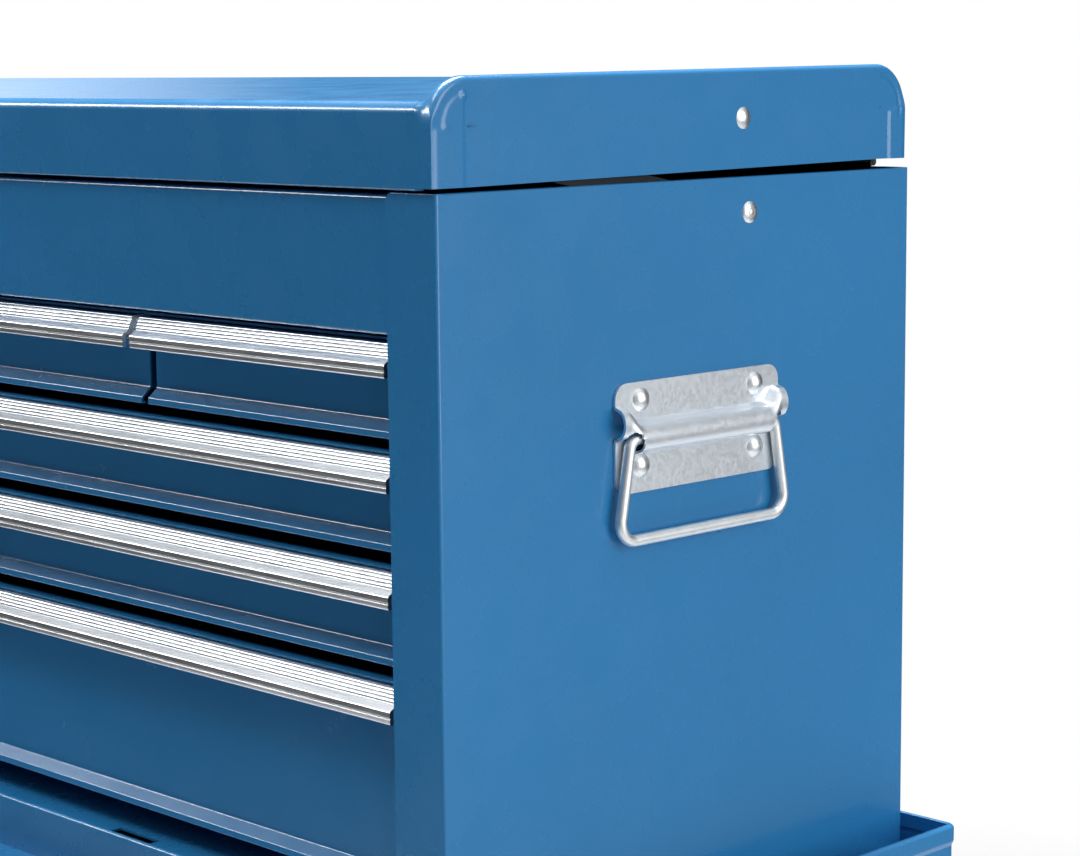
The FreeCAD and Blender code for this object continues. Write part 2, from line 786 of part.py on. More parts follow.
def stay_rivet(y, z, link_x):
    """Head outside the panel, shank, spacer against the panel and a tail head."""
    tail_x = f"{link_x} - link_gauge - tail_gap - tail_high"
    spacer_x = f"{link_x} + link_play"
    return joined(
        [
            dome("chest_half", y, z, "stay_head", "stay_rise"),
            cylinder("X", tail_x, y, z, "pivot", f"chest_half - ({tail_x})"),
            cylinder("X", spacer_x, y, z, "pivot + tail_out", f"wall_in - ({spacer_x})"),
            cylinder("X", tail_x, y, z, "pivot + tail_out", "tail_high"),
        ]
    )


# ------------------------------------------------------------- side handles


def handle_plate():
    """A plate with a half-round barrel pressed outwards across it."""
    front = "(handle_middle - plate_long / 2)"
    low = "(chest_top - plate_top - plate_high)"
    axis_z = "(chest_top - barrel_drop)"
    start = "(handle_middle - barrel_long / 2)"
    axis_x = "chest_half + bail_out"
    outer = "(wire + bail_play + plate_gauge)"
    inner = "(wire + bail_play)"
    plate = box("chest_half", front, low, "plate_gauge", "plate_long", "plate_high")
    DOC.recompute()
    rounded = DOC.addObject("Part::Fillet", "Rounded")
    rounded.Base = plate
    corners = []
    for index, edge in enumerate(plate.Shape.Edges, start=1):
        if abs(edge.Vertexes[0].X - edge.Vertexes[-1].X) > 1:
            corners.append((index, number("plate_corner"), number("plate_corner")))
    rounded.Edges = corners
    cheek = box(
        "chest_half", start, f"{axis_z} - {outer}", "bail_out", "barrel_long", f"2 * {outer}"
    )
    roll = cylinder("Y", axis_x, start, axis_z, outer, "barrel_long")
    gap = box(
        "chest_half - 1",
        start,
        f"{axis_z} - {inner}",
        "bail_out + 1",
        "barrel_long",
        f"2 * {inner}",
    )
    bore = cylinder("Y", axis_x, start, axis_z, inner, "barrel_long")
    holes = through_holes("chest_half - 5", "pivot", handle_rivet_places())
    return cut(joined([rounded, cheek, roll]), [gap, bore] + holes)


def bail():
    """A closed wire handle with rounded corners, hanging from its top bar."""
    centre_y = number("handle_middle")
    axis_z = number("chest_top - barrel_drop")
    axis_x = number("chest_half + bail_out")
    top, foot = number("bail_top_half"), number("bail_foot_half")
    low = axis_z - number("bail_low")
    corners = [
        (FreeCAD.Vector(axis_x, centre_y - top, axis_z), number("bail_top_bend")),
        (FreeCAD.Vector(axis_x, centre_y - foot, low), number("bail_foot_bend")),
        (FreeCAD.Vector(axis_x, centre_y + foot, low), number("bail_foot_bend")),
        (FreeCAD.Vector(axis_x, centre_y + top, axis_z), number("bail_top_bend")),
    ]
    bends = [
        corner_arc(corners[index - 1][0], corners[index][0], corners[(index + 1) % 4][0], bend)
        for index, (_, bend) in enumerate(corners)
    ]
    edges = []
    for index, (start, middle, end) in enumerate(bends):
        edges.append(Part.Arc(start, middle, end).toShape())
        edges.append(Part.LineSegment(end, bends[(index + 1) % 4][0]).toShape())
    section = Part.Wire(
        Part.Circle(bends[0][2], bends[1][0] - bends[0][2], number("wire")).toShape()
    )
    # The sweep starts at the top of the front leg, where the first arc ends.
    path = Part.Wire(edges[1:] + edges[:1])
    item = DOC.addObject("Part::Feature", "Bail")
    item.Shape = path.makePipeShell([section], True, True)
    expected = math.pi * number("wire") ** 2 * path.Length
    if abs(item.Shape.Volume / expected - 1) > 0.01:
        raise RuntimeError("the bail's volume is not its section times its length")
    item.Placement = FreeCAD.Placement()
    return item


def corner_arc(before, corner, after, radius):
    """Start, middle and end of the arc of this radius inside a corner."""
    back = (before - corner).normalize()
    on = (after - corner).normalize()
    half = back.getAngle(on) / 2
    reach = radius / math.tan(half)
    centre = corner + (back + on).normalize() * (radius / math.sin(half))
    middle = centre + (corner - centre).normalize() * radius
    return corner + back * reach, middle, corner + on * reach


def handle_rivet(y, z):
    seat = "chest_half + plate_gauge"
    return joined(
        [
            dome(seat, y, z, "rivet_head", "rivet_rise"),
            cylinder("X", "wall_in - 1", y, z, "pivot", "gauge + 1 + plate_gauge"),
            cylinder("X", "wall_in - 1", y, z, "pivot + 1", 1),
        ]
    )


def handles():
    plate = handle_plate()
    piece("side_handle_plates", group([plate, mirrored(plate)]))
    pair("handle_bail", bail())
    rivets = [handle_rivet(y, z) for y, z in handle_rivet_places()]
    body_y, body_z = stay_body_place()
    rivets.append(stay_rivet(body_y, body_z, "(wall_in - lower_link_in)"))
    piece("chest_rivets", group(rivets + [mirrored(item) for item in rivets]))
    lid_y, lid_z = stay_lid_place()
    lid_rivet = stay_rivet(lid_y, lid_z, "(wall_in - upper_link_in)")
    piece("lid_stay_rivets", group([lid_rivet, mirrored(lid_rivet)]))


def lock():
    """A cylinder lock in the band: a barrel, and a plug that turns with its cam."""
    z = "(chest_top - lock_drop)"
    face = "(chest_front + gauge)"
    head = f"({face} - lock_rim)"
    barrel = joined(
        [
            cylinder("Y", "lock_x", head, z, "lock_head", "lock_rim"),
            cylinder("Y", "lock_x", head, z, "lock_body", "lock_long"),
            cylinder("Y", "lock_x", f"{face} + gauge", z, "lock_head + 1", "lock_nut"),
        ]
    )
    running = "lock_plug + turning_play"
    bore = cylinder("Y", "lock_x", f"{head} - 1", z, running, "lock_long + 4")
    piece("chest_lock_barrel", cut(barrel, [bore]))
    nose = f"({head} - plug_proud)"
    plug = cylinder("Y", "lock_x", nose, z, "lock_plug", "plug_long")
    cam = box(
        "lock_x - 5",
        f"{head} + lock_long + plug_proud",
        f"{z} - cam_wide / 2",
        "cam_long",
        "cam_gauge",
        "cam_wide",
    )
    key_slot = box(
        "lock_x - keyway / 2",
        f"{nose} - 1",
        f"{z} - keyway_high / 2",
        "keyway",
        "keyway_deep + 1",
        "keyway_high",
    )
    piece("chest_lock_plug", cut(joined([plug, cam]), [key_slot]))


# ------------------------------------------------------------------- drawers


def drawer_front(front, top, high, half, centre):
    """The folded sheet front: top strip, set-back face, slope and lip."""
    face = f"({front} + face_set_back)"
    inner = f"({front} + face_set_back + drawer_gauge)"
    lip = f"({top} - {high})"
    outline = [
        (f"{front} + strip_start", f"{top} + drawer_gauge"),
        (inner, f"{top} + drawer_gauge"),
        (inner, f"{lip} + 7.4"),
        (f"{inner} - 5", f"{lip} + 3.4"),
        (f"{inner} - 5.5", lip),
        (f"{face} - 5.5", lip),
        (f"{face} - 5", f"{lip} + 3"),
        (face, f"{lip} + 7"),
        (face, top),
        (f"{front} + strip_start", top),
    ]
    return extruded("YZ", outline, f"2 * {half}", start=f"{centre} - {half}")


def drawer_pull(front, top, half, centre):
    """An aluminium strip: sloping top, rounded nose and a finger hook behind it."""
    points = [
        (15, 0),
        (7.6, 0),
        (4, -5.4),
        (1.2, -7.4),
        (0, -8.8),
        (0, -12.8),
        (0.9, -13.8),
        (2, -13.8),
        (2, -9.4),
        (5.3, -7),
        (8.8, -1.8),
        (13.4, -1.8),
        (13.4, -13),
        (15, -13),
    ]
    outline = [(f"{front} + {y}", f"{top} + {z}") for y, z in points]
    return extruded("YZ", outline, f"2 * {half}", start=f"{centre} - {half}")


def drawer(label, front, top, high, half, centre, rear):
    """One drawer: an open box with its front in one piece, and its pull."""
    box_half = f"({half} - box_inset)"
    begin = f"{front} + face_set_back + drawer_gauge"
    run = f"{rear} - face_set_back - drawer_gauge"
    low = f"({top} - {high} + floor_rise)"
    side_top = f"({top} - box_drop)"
    side_high = f"{side_top} - {low}"
    left = f"{centre} - {box_half}"
    right = f"{centre} + {box_half}"
    back_y = f"{front} + {rear} - drawer_gauge"
    parts = [
        drawer_front(front, top, high, half, centre),
        box(left, begin, low, f"2 * {box_half}", run, "drawer_gauge"),
        box(left, begin, low, "drawer_gauge", run, side_high),
        box(f"{right} - drawer_gauge", begin, low, "drawer_gauge", run, side_high),
        box(left, back_y, low, f"2 * {box_half}", "drawer_gauge", side_high),
    ]
    for start in (f"{left} - runner", f"{right} - drawer_gauge"):
        parts.append(
            box(
                start,
                f"{begin} + runner_start",
                f"{side_top} - drawer_gauge",
                "runner + drawer_gauge",
                f"{run} - runner_start",
                "drawer_gauge",
            )
        )
    piece(label, joined(parts))
    piece(f"{label}_pull", drawer_pull(front, top, half, centre))


def channel(front, top, box_side, towards, backing, rear):
    """A fixed C channel for one runner, standing off its backing sheet.

    towards is +1 when the channel is on the drawer's right. backing is the
    backing sheet's face, and box_side is the drawer box's outer side.
    """
    under = f"({top} - box_drop - drawer_gauge - runner_play - gauge)"
    web = f"({box_side} + {towards} * channel_room)"
    begin = f"{front} + channel_start"
    run = f"{rear} - channel_start + channel_stop"

    def across(near, far, z, high):
        """A block between two x places, whichever side comes first."""
        low, wide = (near, f"{far} - ({near})") if towards > 0 else (far, f"{near} - ({far})")
        return box(low, begin, z, wide, run, high)

    tip = f"({web} - {towards} * channel_lip)"
    outer = f"({web} + {towards} * gauge)"
    upper = f"{under} + gauge + channel_open"
    walls = [
        across(tip, outer, under, "gauge"),
        across(tip, outer, upper, "gauge"),
        across(web, outer, under, "channel_open + 2 * gauge"),
    ]
    if backing:
        flange_at = f"({backing} - {towards} * gauge)"
        walls.append(across(web, backing, under, "gauge"))
        walls.append(across(flange_at, backing, under, "channel_flange"))
    return joined(walls)


def chest_drawers():
    rear = "chest_box_rear"
    small_halves = {0: "(divider_at - small_gap / 2)", 1: "(small_wide / 2)"}
    wide_half = "(chest_half - flange - side_play)"
    channels = []
    top = "(chest_top - drop_1)"
    for name, step in (("left", -1), ("centre", 0), ("right", 1)):
        centre = f"({step} * small_at)"
        small_half = small_halves[abs(step)]
        label = f"chest_drawer_small_{name}"
        drawer(label, "chest_front", top, "shallow", small_half, centre, rear)
        for towards in (-1, 1):
            box_side = f"({centre} + {towards} * ({small_half} - box_inset))"
            backing = f"{towards} * wall_in" if step == towards else None
            channels.append(channel("chest_front", top, box_side, towards, backing, rear))
    for name, drop, high in (
        ("upper", "drop_2", "shallow"),
        ("middle", "drop_3", "shallow"),
        ("deep", "drop_4", "deep"),
    ):
        top = f"(chest_top - {drop})"
        drawer(f"chest_drawer_{name}", "chest_front", top, high, wide_half, "0", rear)
        for towards in (-1, 1):
            box_side = f"({towards} * ({wide_half} - box_inset))"
            backing = f"{towards} * wall_in"
            channels.append(channel("chest_front", top, box_side, towards, backing, rear))
    piece("chest_drawer_slides", group(channels))


def cabinet_drawers():
    rear = "cabinet_box_rear"
    half = "(cabinet_half - flange - side_play)"
    channels = []
    rows = (
        ("cabinet_drop_1", "deep"),
        ("cabinet_drop_2", "deep"),
        ("cabinet_drop_3", "tall"),
        ("cabinet_drop_4", "tall"),
    )
    for index, (drop, high) in enumerate(rows, start=1):
        top = f"(tray_floor - {drop})"
        drawer(f"cabinet_drawer_{index}", "cabinet_front", top, high, half, "0", rear)
        for towards in (-1, 1):
            box_side = f"({towards} * ({half} - box_inset))"
            backing = f"{towards} * cabinet_in"
            channels.append(channel("cabinet_front", top, box_side, towards, backing, rear))
    piece("cabinet_drawer_slides", group(channels))


# ------------------------------------------------------------------- casters


def caster_plate(y):
    return box(
        "caster_x - top_plate_wide / 2",
        f"{y} - top_plate_long / 2",
        "caster_high - leg_gauge",
        "top_plate_wide",
        "top_plate_long",
        "leg_gauge",
    )


def axle_bolt(y):
    """An axle across both legs, with a head outside each."""
    half = "(leg_out + 0.1 + bolt_high)"
    far_head = "caster_x + leg_out + 0.1"
    return joined(
        [
            cylinder("X", f"caster_x - {half}", y, "wheel", "axle", f"2 * {half}"),
            cylinder("X", f"caster_x - {half}", y, "wheel", "bolt_head", "bolt_high"),
            cylinder("X", far_head, y, "wheel", "bolt_head", "bolt_high"),
        ]
    )


def legs(outline, y, foot_radius):
    """Two legs with round feet about the axle, drilled for it."""
    sides = []
    for start in ("caster_x - leg_out", "caster_x + leg_in"):
        sides.append(extruded("YZ", outline, "leg_gauge", start=start))
        sides.append(cylinder("X", start, y, "wheel", foot_radius, "leg_gauge"))
    return sides


def fixed_caster():
    y = "caster_y"
    top = "caster_high - leg_gauge"
    outline = [
        (f"{y} - 28", top),
        (f"{y} - fixed_foot", "wheel"),
        (f"{y} + fixed_foot", "wheel"),
        (f"{y} + 28", top),
    ]
    bracket = joined([caster_plate(y)] + legs(outline, y, "fixed_foot"))
    hole = cylinder("X", "caster_x - 40", y, "wheel", "axle", 80)
    return [cut(bracket, [hole]), axle_bolt(y)]


def swivel_caster():
    y = "(-caster_y)"
    plate = joined(
        [
            caster_plate(y),
            cylinder("Z", "caster_x", y, "caster_high - race_high", "race_radius", "race_high"),
        ]
    )
    running = "kingpin + turning_play"
    bore = cylinder("Z", "caster_x", y, "caster_high - race_high - 1", running, "race_high + 2")
    ring = cut(plate, [bore])
    piece("swivel_caster_plates", group([ring, mirrored(ring)]))

    axle_y = f"({y} + trail)"
    web_z = "(caster_high - fork_top)"
    outline = [
        (f"{y} - 20", web_z),
        (f"{axle_y} - swivel_foot", "wheel - 2"),
        (f"{axle_y} + swivel_foot", "wheel - 2"),
        (f"{axle_y} + 14", web_z),
    ]
    web = box("caster_x - leg_out", f"{y} - 20", web_z, "2 * leg_out", "trail + 34", "fork_web")
    pin = cylinder("Z", "caster_x", y, f"{web_z} + 1", "kingpin", 10)
    holes = [
        cylinder("X", "caster_x - 40", axle_y, "wheel", "axle", 80),
        cylinder("X", "caster_x - 40", f"{y} + pedal_y", "pedal_z", "pedal_pin + turning_play", 80),
    ]
    fork = cut(joined([web, pin] + legs(outline, axle_y, "swivel_foot")), holes)
    pair("swivel_fork", group([fork, axle_bolt(axle_y)]))
    brake_pedal(y)
    return axle_y


def brake_pedal(y):
    """A bent pedal on a cross pin; pressed down, its shoe nears the tread."""
    pivot = f"({y} + pedal_y)"
    points = [
        (-5, -2.5),
        (4, -2.5),
        (18, -11),
        (24, -11),
        (34, -8),
        (40, -5.5),
        (40, -2.5),
        (34, -2.5),
        (5, 3),
        (-5, 3),
    ]
    outline = [(f"{pivot} + {along}", f"pedal_z + {up}") for along, up in points]
    blade = extruded("YZ", outline, "2 * pedal_half", start="caster_x - pedal_half")
    pin_x = "caster_x - leg_out - 1"
    pin = cylinder("X", pin_x, pivot, "pedal_z", "pedal_pin", "2 * leg_out + 2")
    pair("brake_pedal", joined([blade, pin]))


def wheel(label, y):
    """Hub, dished web and rounded tread in one turned piece."""
    bore = "(axle + turning_play)"
    half = [
        ("-hub_half", bore),
        ("hub_half", bore),
        ("hub_half", 10),
        (6, 12),
        (6, 25),
        ("tread_half - 1", 28),
        ("tread_half", "wheel - 4"),
        ("tread_half - 3", "wheel"),
        ("-tread_half + 3", "wheel"),
        ("-tread_half", "wheel - 4"),
        ("-tread_half + 1", 28),
        (-6, 25),
        (-6, 12),
        ("-hub_half", 10),
    ]
    pair(label, turned(half, "caster_x", y, "wheel"))


def casters():
    front_axle = swivel_caster()
    bracket, bolt = fixed_caster()
    fixed = [bracket, bolt, mirrored(bracket), mirrored(bolt)]
    piece("fixed_caster_brackets", group(fixed))
    wheel("rear_wheel", "caster_y")
    wheel("front_wheel", front_axle)


# ------------------------------------------------------------------- writing


def check_and_export():
    DOC.recompute()
    for item in DOC.Objects:
        if "Invalid" in item.State or "Error" in item.State:
            raise RuntimeError(f"{item.Name} ({item.Label}) failed: {item.State}")
    for item in PIECES:
        if item.Shape.isNull() or not item.Shape.isValid() or not item.Shape.Solids:
            raise RuntimeError(f"{item.Label} has no valid solid")
    os.makedirs("parts", exist_ok=True)
    for item in PIECES:
        item.Shape.exportStep(f"parts/{item.Label}.step")
    print(len(PIECES), "sub-parts written")


fill_sheet()
cabinet_casing()
cabinet_drawers()
casters()
chest_casing()
chest_drawers()
handles()
lock()
lid()
hinge()
lid_stays()
check_and_export()
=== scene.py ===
"""Looks of the rolling tool chest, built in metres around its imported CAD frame."""
import json
import math

import bmesh
import bpy
from mathutils import Matrix, Vector


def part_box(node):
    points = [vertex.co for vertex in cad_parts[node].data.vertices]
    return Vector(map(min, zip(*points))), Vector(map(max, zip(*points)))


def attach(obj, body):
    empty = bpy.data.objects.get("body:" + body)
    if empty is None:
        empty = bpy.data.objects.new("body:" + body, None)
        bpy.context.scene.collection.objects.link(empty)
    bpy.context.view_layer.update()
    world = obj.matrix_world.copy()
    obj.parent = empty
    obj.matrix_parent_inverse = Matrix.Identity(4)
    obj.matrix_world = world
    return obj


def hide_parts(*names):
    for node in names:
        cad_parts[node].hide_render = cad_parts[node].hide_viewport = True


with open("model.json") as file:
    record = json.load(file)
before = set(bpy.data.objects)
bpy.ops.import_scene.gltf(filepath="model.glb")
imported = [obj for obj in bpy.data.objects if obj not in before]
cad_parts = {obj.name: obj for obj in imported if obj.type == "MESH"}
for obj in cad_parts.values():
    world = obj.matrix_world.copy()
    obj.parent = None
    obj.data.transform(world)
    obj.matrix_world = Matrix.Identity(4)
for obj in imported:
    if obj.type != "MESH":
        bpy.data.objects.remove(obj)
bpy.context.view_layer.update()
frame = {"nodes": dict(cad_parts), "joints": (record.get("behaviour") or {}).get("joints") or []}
MM = 0.001

# ---- places from the frame
SIDE_LOW, SIDE_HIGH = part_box("chest_side_right")
HALF, FRONT = SIDE_HIGH.x, SIDE_LOW.y
TRAY, TOP = SIDE_LOW.z, SIDE_HIGH.z
LID_LOW, LID_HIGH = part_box("lid_top_sheet")
LID_END_LOW, LID_END_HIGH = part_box("lid_end_right")
BAND_LOW, BAND_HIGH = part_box("chest_front_band")
BASE_LOW, BASE_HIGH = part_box("chest_base_panel")
PLATE_LOW, PLATE_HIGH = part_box("side_handle_plates")
BAIL_LOW, BAIL_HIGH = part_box("handle_bail_right")
CABINET_LOW, CABINET_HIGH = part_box("cabinet_side_right")
TRAY_LOW, TRAY_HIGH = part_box("cabinet_top_tray")
SHEET = 1.2 * MM
DRAWER_SHEET = 1.0 * MM
SHEET_BEND = 5 * MM
FRONT_FLANGE, REAR_FLANGE = 30 * MM, 20 * MM
JOINTS = {joint["name"]: joint for joint in frame["joints"]}


# ---- materials
def new_material(name):
    made = bpy.data.materials.new(name)
    made.use_nodes = True
    return made, made.node_tree, made.node_tree.nodes["Principled BSDF"]


def object_coordinates(tree, stretch=(1, 1, 1)):
    """Object coordinates in metres, stretched along each axis."""
    place = tree.nodes.new("ShaderNodeTexCoord")
    scale = tree.nodes.new("ShaderNodeMapping")
    scale.inputs["Scale"].default_value = stretch
    tree.links.new(place.outputs["Object"], scale.inputs["Vector"])
    return scale.outputs["Vector"]


def noise(tree, vector, scale, detail=3.0, roughness=0.55):
    made = tree.nodes.new("ShaderNodeTexNoise")
    made.inputs["Scale"].default_value = scale
    made.inputs["Detail"].default_value = detail
    made.inputs["Roughness"].default_value = roughness
    tree.links.new(vector, made.inputs["Vector"])
    return made.outputs["Fac"]


def remap(tree, value, low, high, from_low=0.3, from_high=0.7):
    made = tree.nodes.new("ShaderNodeMapRange")
    made.inputs["From Min"].default_value = from_low
    made.inputs["From Max"].default_value = from_high
    made.inputs["To Min"].default_value = low
    made.inputs["To Max"].default_value = high
    tree.links.new(value, made.inputs["Value"])
    return made.outputs["Result"]


def mix_colours(tree, share, first, second):
    made = tree.nodes.new("ShaderNodeMix")
    made.data_type = "RGBA"
    for socket, colour in (("A", first), ("B", second)):
        target = [item for item in made.inputs if item.name == socket and item.type == "RGBA"][0]
        if hasattr(colour, "node"):
            tree.links.new(colour, target)
        else:
            target.default_value = (*colour, 1)
    tree.links.new(share, made.inputs["Factor"])
    return [item for item in made.outputs if item.type == "RGBA"][0]


def bump(tree, shader, layers):
    """A chain of bump nodes; each layer is (height socket, distance in metres, strength)."""
    last = None
    for height, distance, strength in layers:
        made = tree.nodes.new("ShaderNodeBump")
        made.inputs["Distance"].default_value = distance
        made.inputs["Strength"].default_value = strength
        tree.links.new(height, made.inputs["Height"])
        if last is not None:
            tree.links.new(last, made.inputs["Normal"])
        last = made.outputs["Normal"]
    tree.links.new(last, shader.inputs["Normal"])


def shade(colour, factor):
    return tuple(channel * factor for channel in colour)


def enamel(name, colour, rough):
    """Baked enamel: faint orange peel, slow waves in the sheet and a little dust in the gloss."""
    made, tree, shader = new_material(name)
    place = object_coordinates(tree)
    slow = noise(tree, place, 5.0, 2.0)
    cloudy = mix_colours(tree, remap(tree, slow, 0, 1), shade(colour, 0.95), shade(colour, 1.05))
    specks = remap(tree, noise(tree, place, 620.0, 1.0), 0, 0.35, 0.72, 0.82)
    dusty = mix_colours(tree, specks, cloudy, shade(colour, 1.35))
    tree.links.new(dusty, shader.inputs["Base Color"])
    smears = noise(tree, place, 38.0, 4.0)
    tree.links.new(remap(tree, smears, *rough), shader.inputs["Roughness"])
    shader.inputs["Coat Weight"].default_value = 0.35
    shader.inputs["Coat Roughness"].default_value = 0.08
    peel = noise(tree, place, 520.0, 1.0)
    wave = noise(tree, place, 11.0, 1.0)
    bump(tree, shader, [(wave, 0.0006, 0.25), (peel, 0.00006, 0.35)])
    return made


def metal(name, colour, rough, stretch=(1, 1, 1), grain=900.0, depth=0.00004, cloud=30.0):
    """Bare or plated metal. Stretch draws the grain out along an axis into brush lines."""
    made, tree, shader = new_material(name)
    place = object_coordinates(tree)
    drawn = object_coordinates(tree, stretch)
    lines = noise(tree, drawn, grain, 2.0)
    patches = noise(tree, place, cloud, 4.0, 0.6)
    tone = mix_colours(tree, remap(tree, patches, 0, 1), shade(colour, 0.9), shade(colour, 1.04))
    streaked = mix_colours(tree, remap(tree, lines, 0, 0.35), tone, shade(colour, 0.8))
    tree.links.new(streaked, shader.inputs["Base Color"])
    shader.inputs["Metallic"].default_value = 1.0
    tree.links.new(remap(tree, lines, *rough), shader.inputs["Roughness"])
    bump(tree, shader, [(patches, depth, 0.3), (lines, depth, 0.5)])
    return made


def spangled_zinc(name, colour):
    """Zinc-plated sheet: faint crystals under fine upright brush lines."""
    made, tree, shader = new_material(name)
    place = object_coordinates(tree)
    crystals = tree.nodes.new("ShaderNodeTexVoronoi")
    crystals.inputs["Scale"].default_value = 700.0
    tree.links.new(place, crystals.inputs["Vector"])
    grey = tree.nodes.new("ShaderNodeSeparateColor")
    tree.links.new(crystals.outputs["Color"], grey.inputs["Color"])
    crystal = grey.outputs["Red"]
    fog = noise(tree, place, 28.0, 2.0)
    drawn = noise(tree, object_coordinates(tree, (1, 1, 0.05)), 1700.0, 2.0)
    tone = mix_colours(tree, remap(tree, crystal, 0, 1, 0, 1), shade(colour, 0.97), colour)
    lined = mix_colours(tree, remap(tree, drawn, 0, 0.3), tone, shade(colour, 0.88))
    fogged = mix_colours(tree, remap(tree, fog, 0, 0.5), lined, shade(colour, 1.04))
    tree.links.new(fogged, shader.inputs["Base Color"])
    shader.inputs["Metallic"].default_value = 1.0
    tree.links.new(remap(tree, crystal, 0.36, 0.44, 0, 1), shader.inputs["Roughness"])
    bump(tree, shader, [(fog, 0.00004, 0.2), (drawn, 0.000015, 0.5)])
    return made


def moulded(name, colour, rough, grain, depth):
    """Rubber or plastic with a fine moulded grain and rubbed patches."""
    made, tree, shader = new_material(name)
    place = object_coordinates(tree)
    fine = noise(tree, place, grain, 2.0)
    worn = noise(tree, place, 45.0, 5.0, 0.65)
    rubbed = mix_colours(tree, remap(tree, worn, 0, 1), colour, shade(colour, 1.5))
    tree.links.new(rubbed, shader.inputs["Base Color"])
    tree.links.new(remap(tree, worn, *rough), shader.inputs["Roughness"])
    bump(tree, shader, [(fine, depth, 0.6)])
    return made


BLUE = (0.020, 0.185, 0.425)
MATERIALS = {
    "paint": enamel("blue_enamel", BLUE, (0.22, 0.32)),
    "drawer": enamel("blue_enamel_drawers", BLUE, (0.2, 0.28)),
    "pull": metal(
        "anodised_aluminium", (0.90, 0.93, 0.96), (0.26, 0.36), (0.015, 1, 1), 2600.0, 0.00002
    ),
    "plate": spangled_zinc("zinc_plate", (0.83, 0.88, 0.93)),
    "wire": metal("galvanised_wire", (0.90, 0.94, 0.96), (0.38, 0.52), grain=700.0, cloud=160.0),
    "rivet": metal("bright_rivet", (0.86, 0.89, 0.91), (0.26, 0.4), grain=900.0, cloud=500.0),
    "steel": metal("zinc_plated_steel", (0.66, 0.68, 0.70), (0.3, 0.46), (1, 0.05, 1), 1400.0),
    "link": metal("blackened_steel", (0.04, 0.04, 0.045), (0.5, 0.7), grain=1400.0),
    "chrome": metal("chrome", (0.82, 0.83, 0.85), (0.06, 0.14), grain=300.0, depth=0.00001),
    "dark": moulded("black_enamel", (0.018, 0.018, 0.020), (0.35, 0.5), 700.0, 0.00003),
    "rubber": moulded("tyre_rubber", (0.020, 0.020, 0.021), (0.6, 0.85), 1100.0, 0.00012),
    "hub": moulded("grey_hub", (0.16, 0.165, 0.17), (0.4, 0.6), 900.0, 0.00006),
}


# ---- mesh tools
def rounded(points, radii, steps=6):
    """A 2D line whose inner corners are arcs of the given radii."""
    path = []
    last = len(points) - 1
    for index, (point, radius) in enumerate(zip(points, radii)):
        here = Vector(point)
        if radius == 0 or index in (0, last):
            path.append(here)
            continue
        path += corner_arc(Vector(points[index - 1]), here, Vector(points[index + 1]), radius, steps)
    return path


def corner_arc(before, here, after, radius, steps):
    """The arc of this radius that rounds the corner at here, in 2D or 3D."""
    back = (before - here).normalized()
    on = (after - here).normalized()
    half = back.angle(on) / 2
    centre = here + (back + on).normalized() * (radius / math.sin(half))
    start = here + back * (radius / math.tan(half)) - centre
    end = here + on * (radius / math.tan(half)) - centre
    sweep = start.angle(end)
    arc = []
    for step in range(steps + 1):
        share = step / steps
        first = math.sin((1 - share) * sweep) / math.sin(sweep)
        second = math.sin(share * sweep) / math.sin(sweep)
        arc.append(centre + start * first + end * second)
    return arc


def side_normals(path):
    """Left-hand normals of a 2D line, lengthened at corners so that an offset keeps its width."""
    found = []
    for index in range(len(path)):
        near = path[max(0, index - 1) : index + 2]
        runs = [(b - a).normalized() for a, b in zip(near, near[1:])]
        lefts = [Vector((-run.y, run.x)) for run in runs]
        middle = sum(lefts, Vector((0, 0))).normalized()
        found.append(middle / max(0.3, middle.dot(lefts[0])))
    return found


def offset(path, distance):
    """The same 2D line, moved to its left."""
    return [point + normal * distance for point, normal in zip(path, side_normals(path))]


def grid_normals(rows):
    """The surface's normal at each point of a grid."""
    high, wide = len(rows), len(rows[0])
    found = []
    for i in range(high):
        line = []
        for j in range(wide):
            across = rows[i][min(j + 1, wide - 1)] - rows[i][max(j - 1, 0)]
            along = rows[min(i + 1, high - 1)][j] - rows[max(i - 1, 0)][j]
            line.append(across.cross(along).normalized())
        found.append(line)
    return found


def thickened(rows, thickness):
    """The same grid of points, moved against its normals."""
    return [
        [point - normal * thickness for point, normal in zip(row, normals)]
        for row, normals in zip(rows, grid_normals(rows))
    ]


def sheet_faces(rows, thickness):
    """Points and faces of both sides of a curved sheet, without its edges."""
    high, wide = len(rows), len(rows[0])
    count = high * wide
    points = [point for grid in (rows, thickened(rows, thickness)) for row in grid for point in row]
    faces = []
    for i in range(high - 1):
        for j in range(wide - 1):
            a = i * wide + j
            quad = [a, a + 1, a + wide + 1, a + wide]
            faces += [quad, [corner + count for corner in reversed(quad)]]
    return points, faces


def in_mm(*places):
    """Points given in millimetres, as tuples in metres."""
    return [tuple(value * MM for value in place) for place in places]


def mesh_object(name, points, faces):
    mesh = bpy.data.meshes.new(name)
    mesh.from_pydata([tuple(point) for point in points], [], faces)
    mesh.validate()
    mesh.update()
    made = bpy.data.objects.new(name, mesh)
    bpy.context.scene.collection.objects.link(made)
    return made


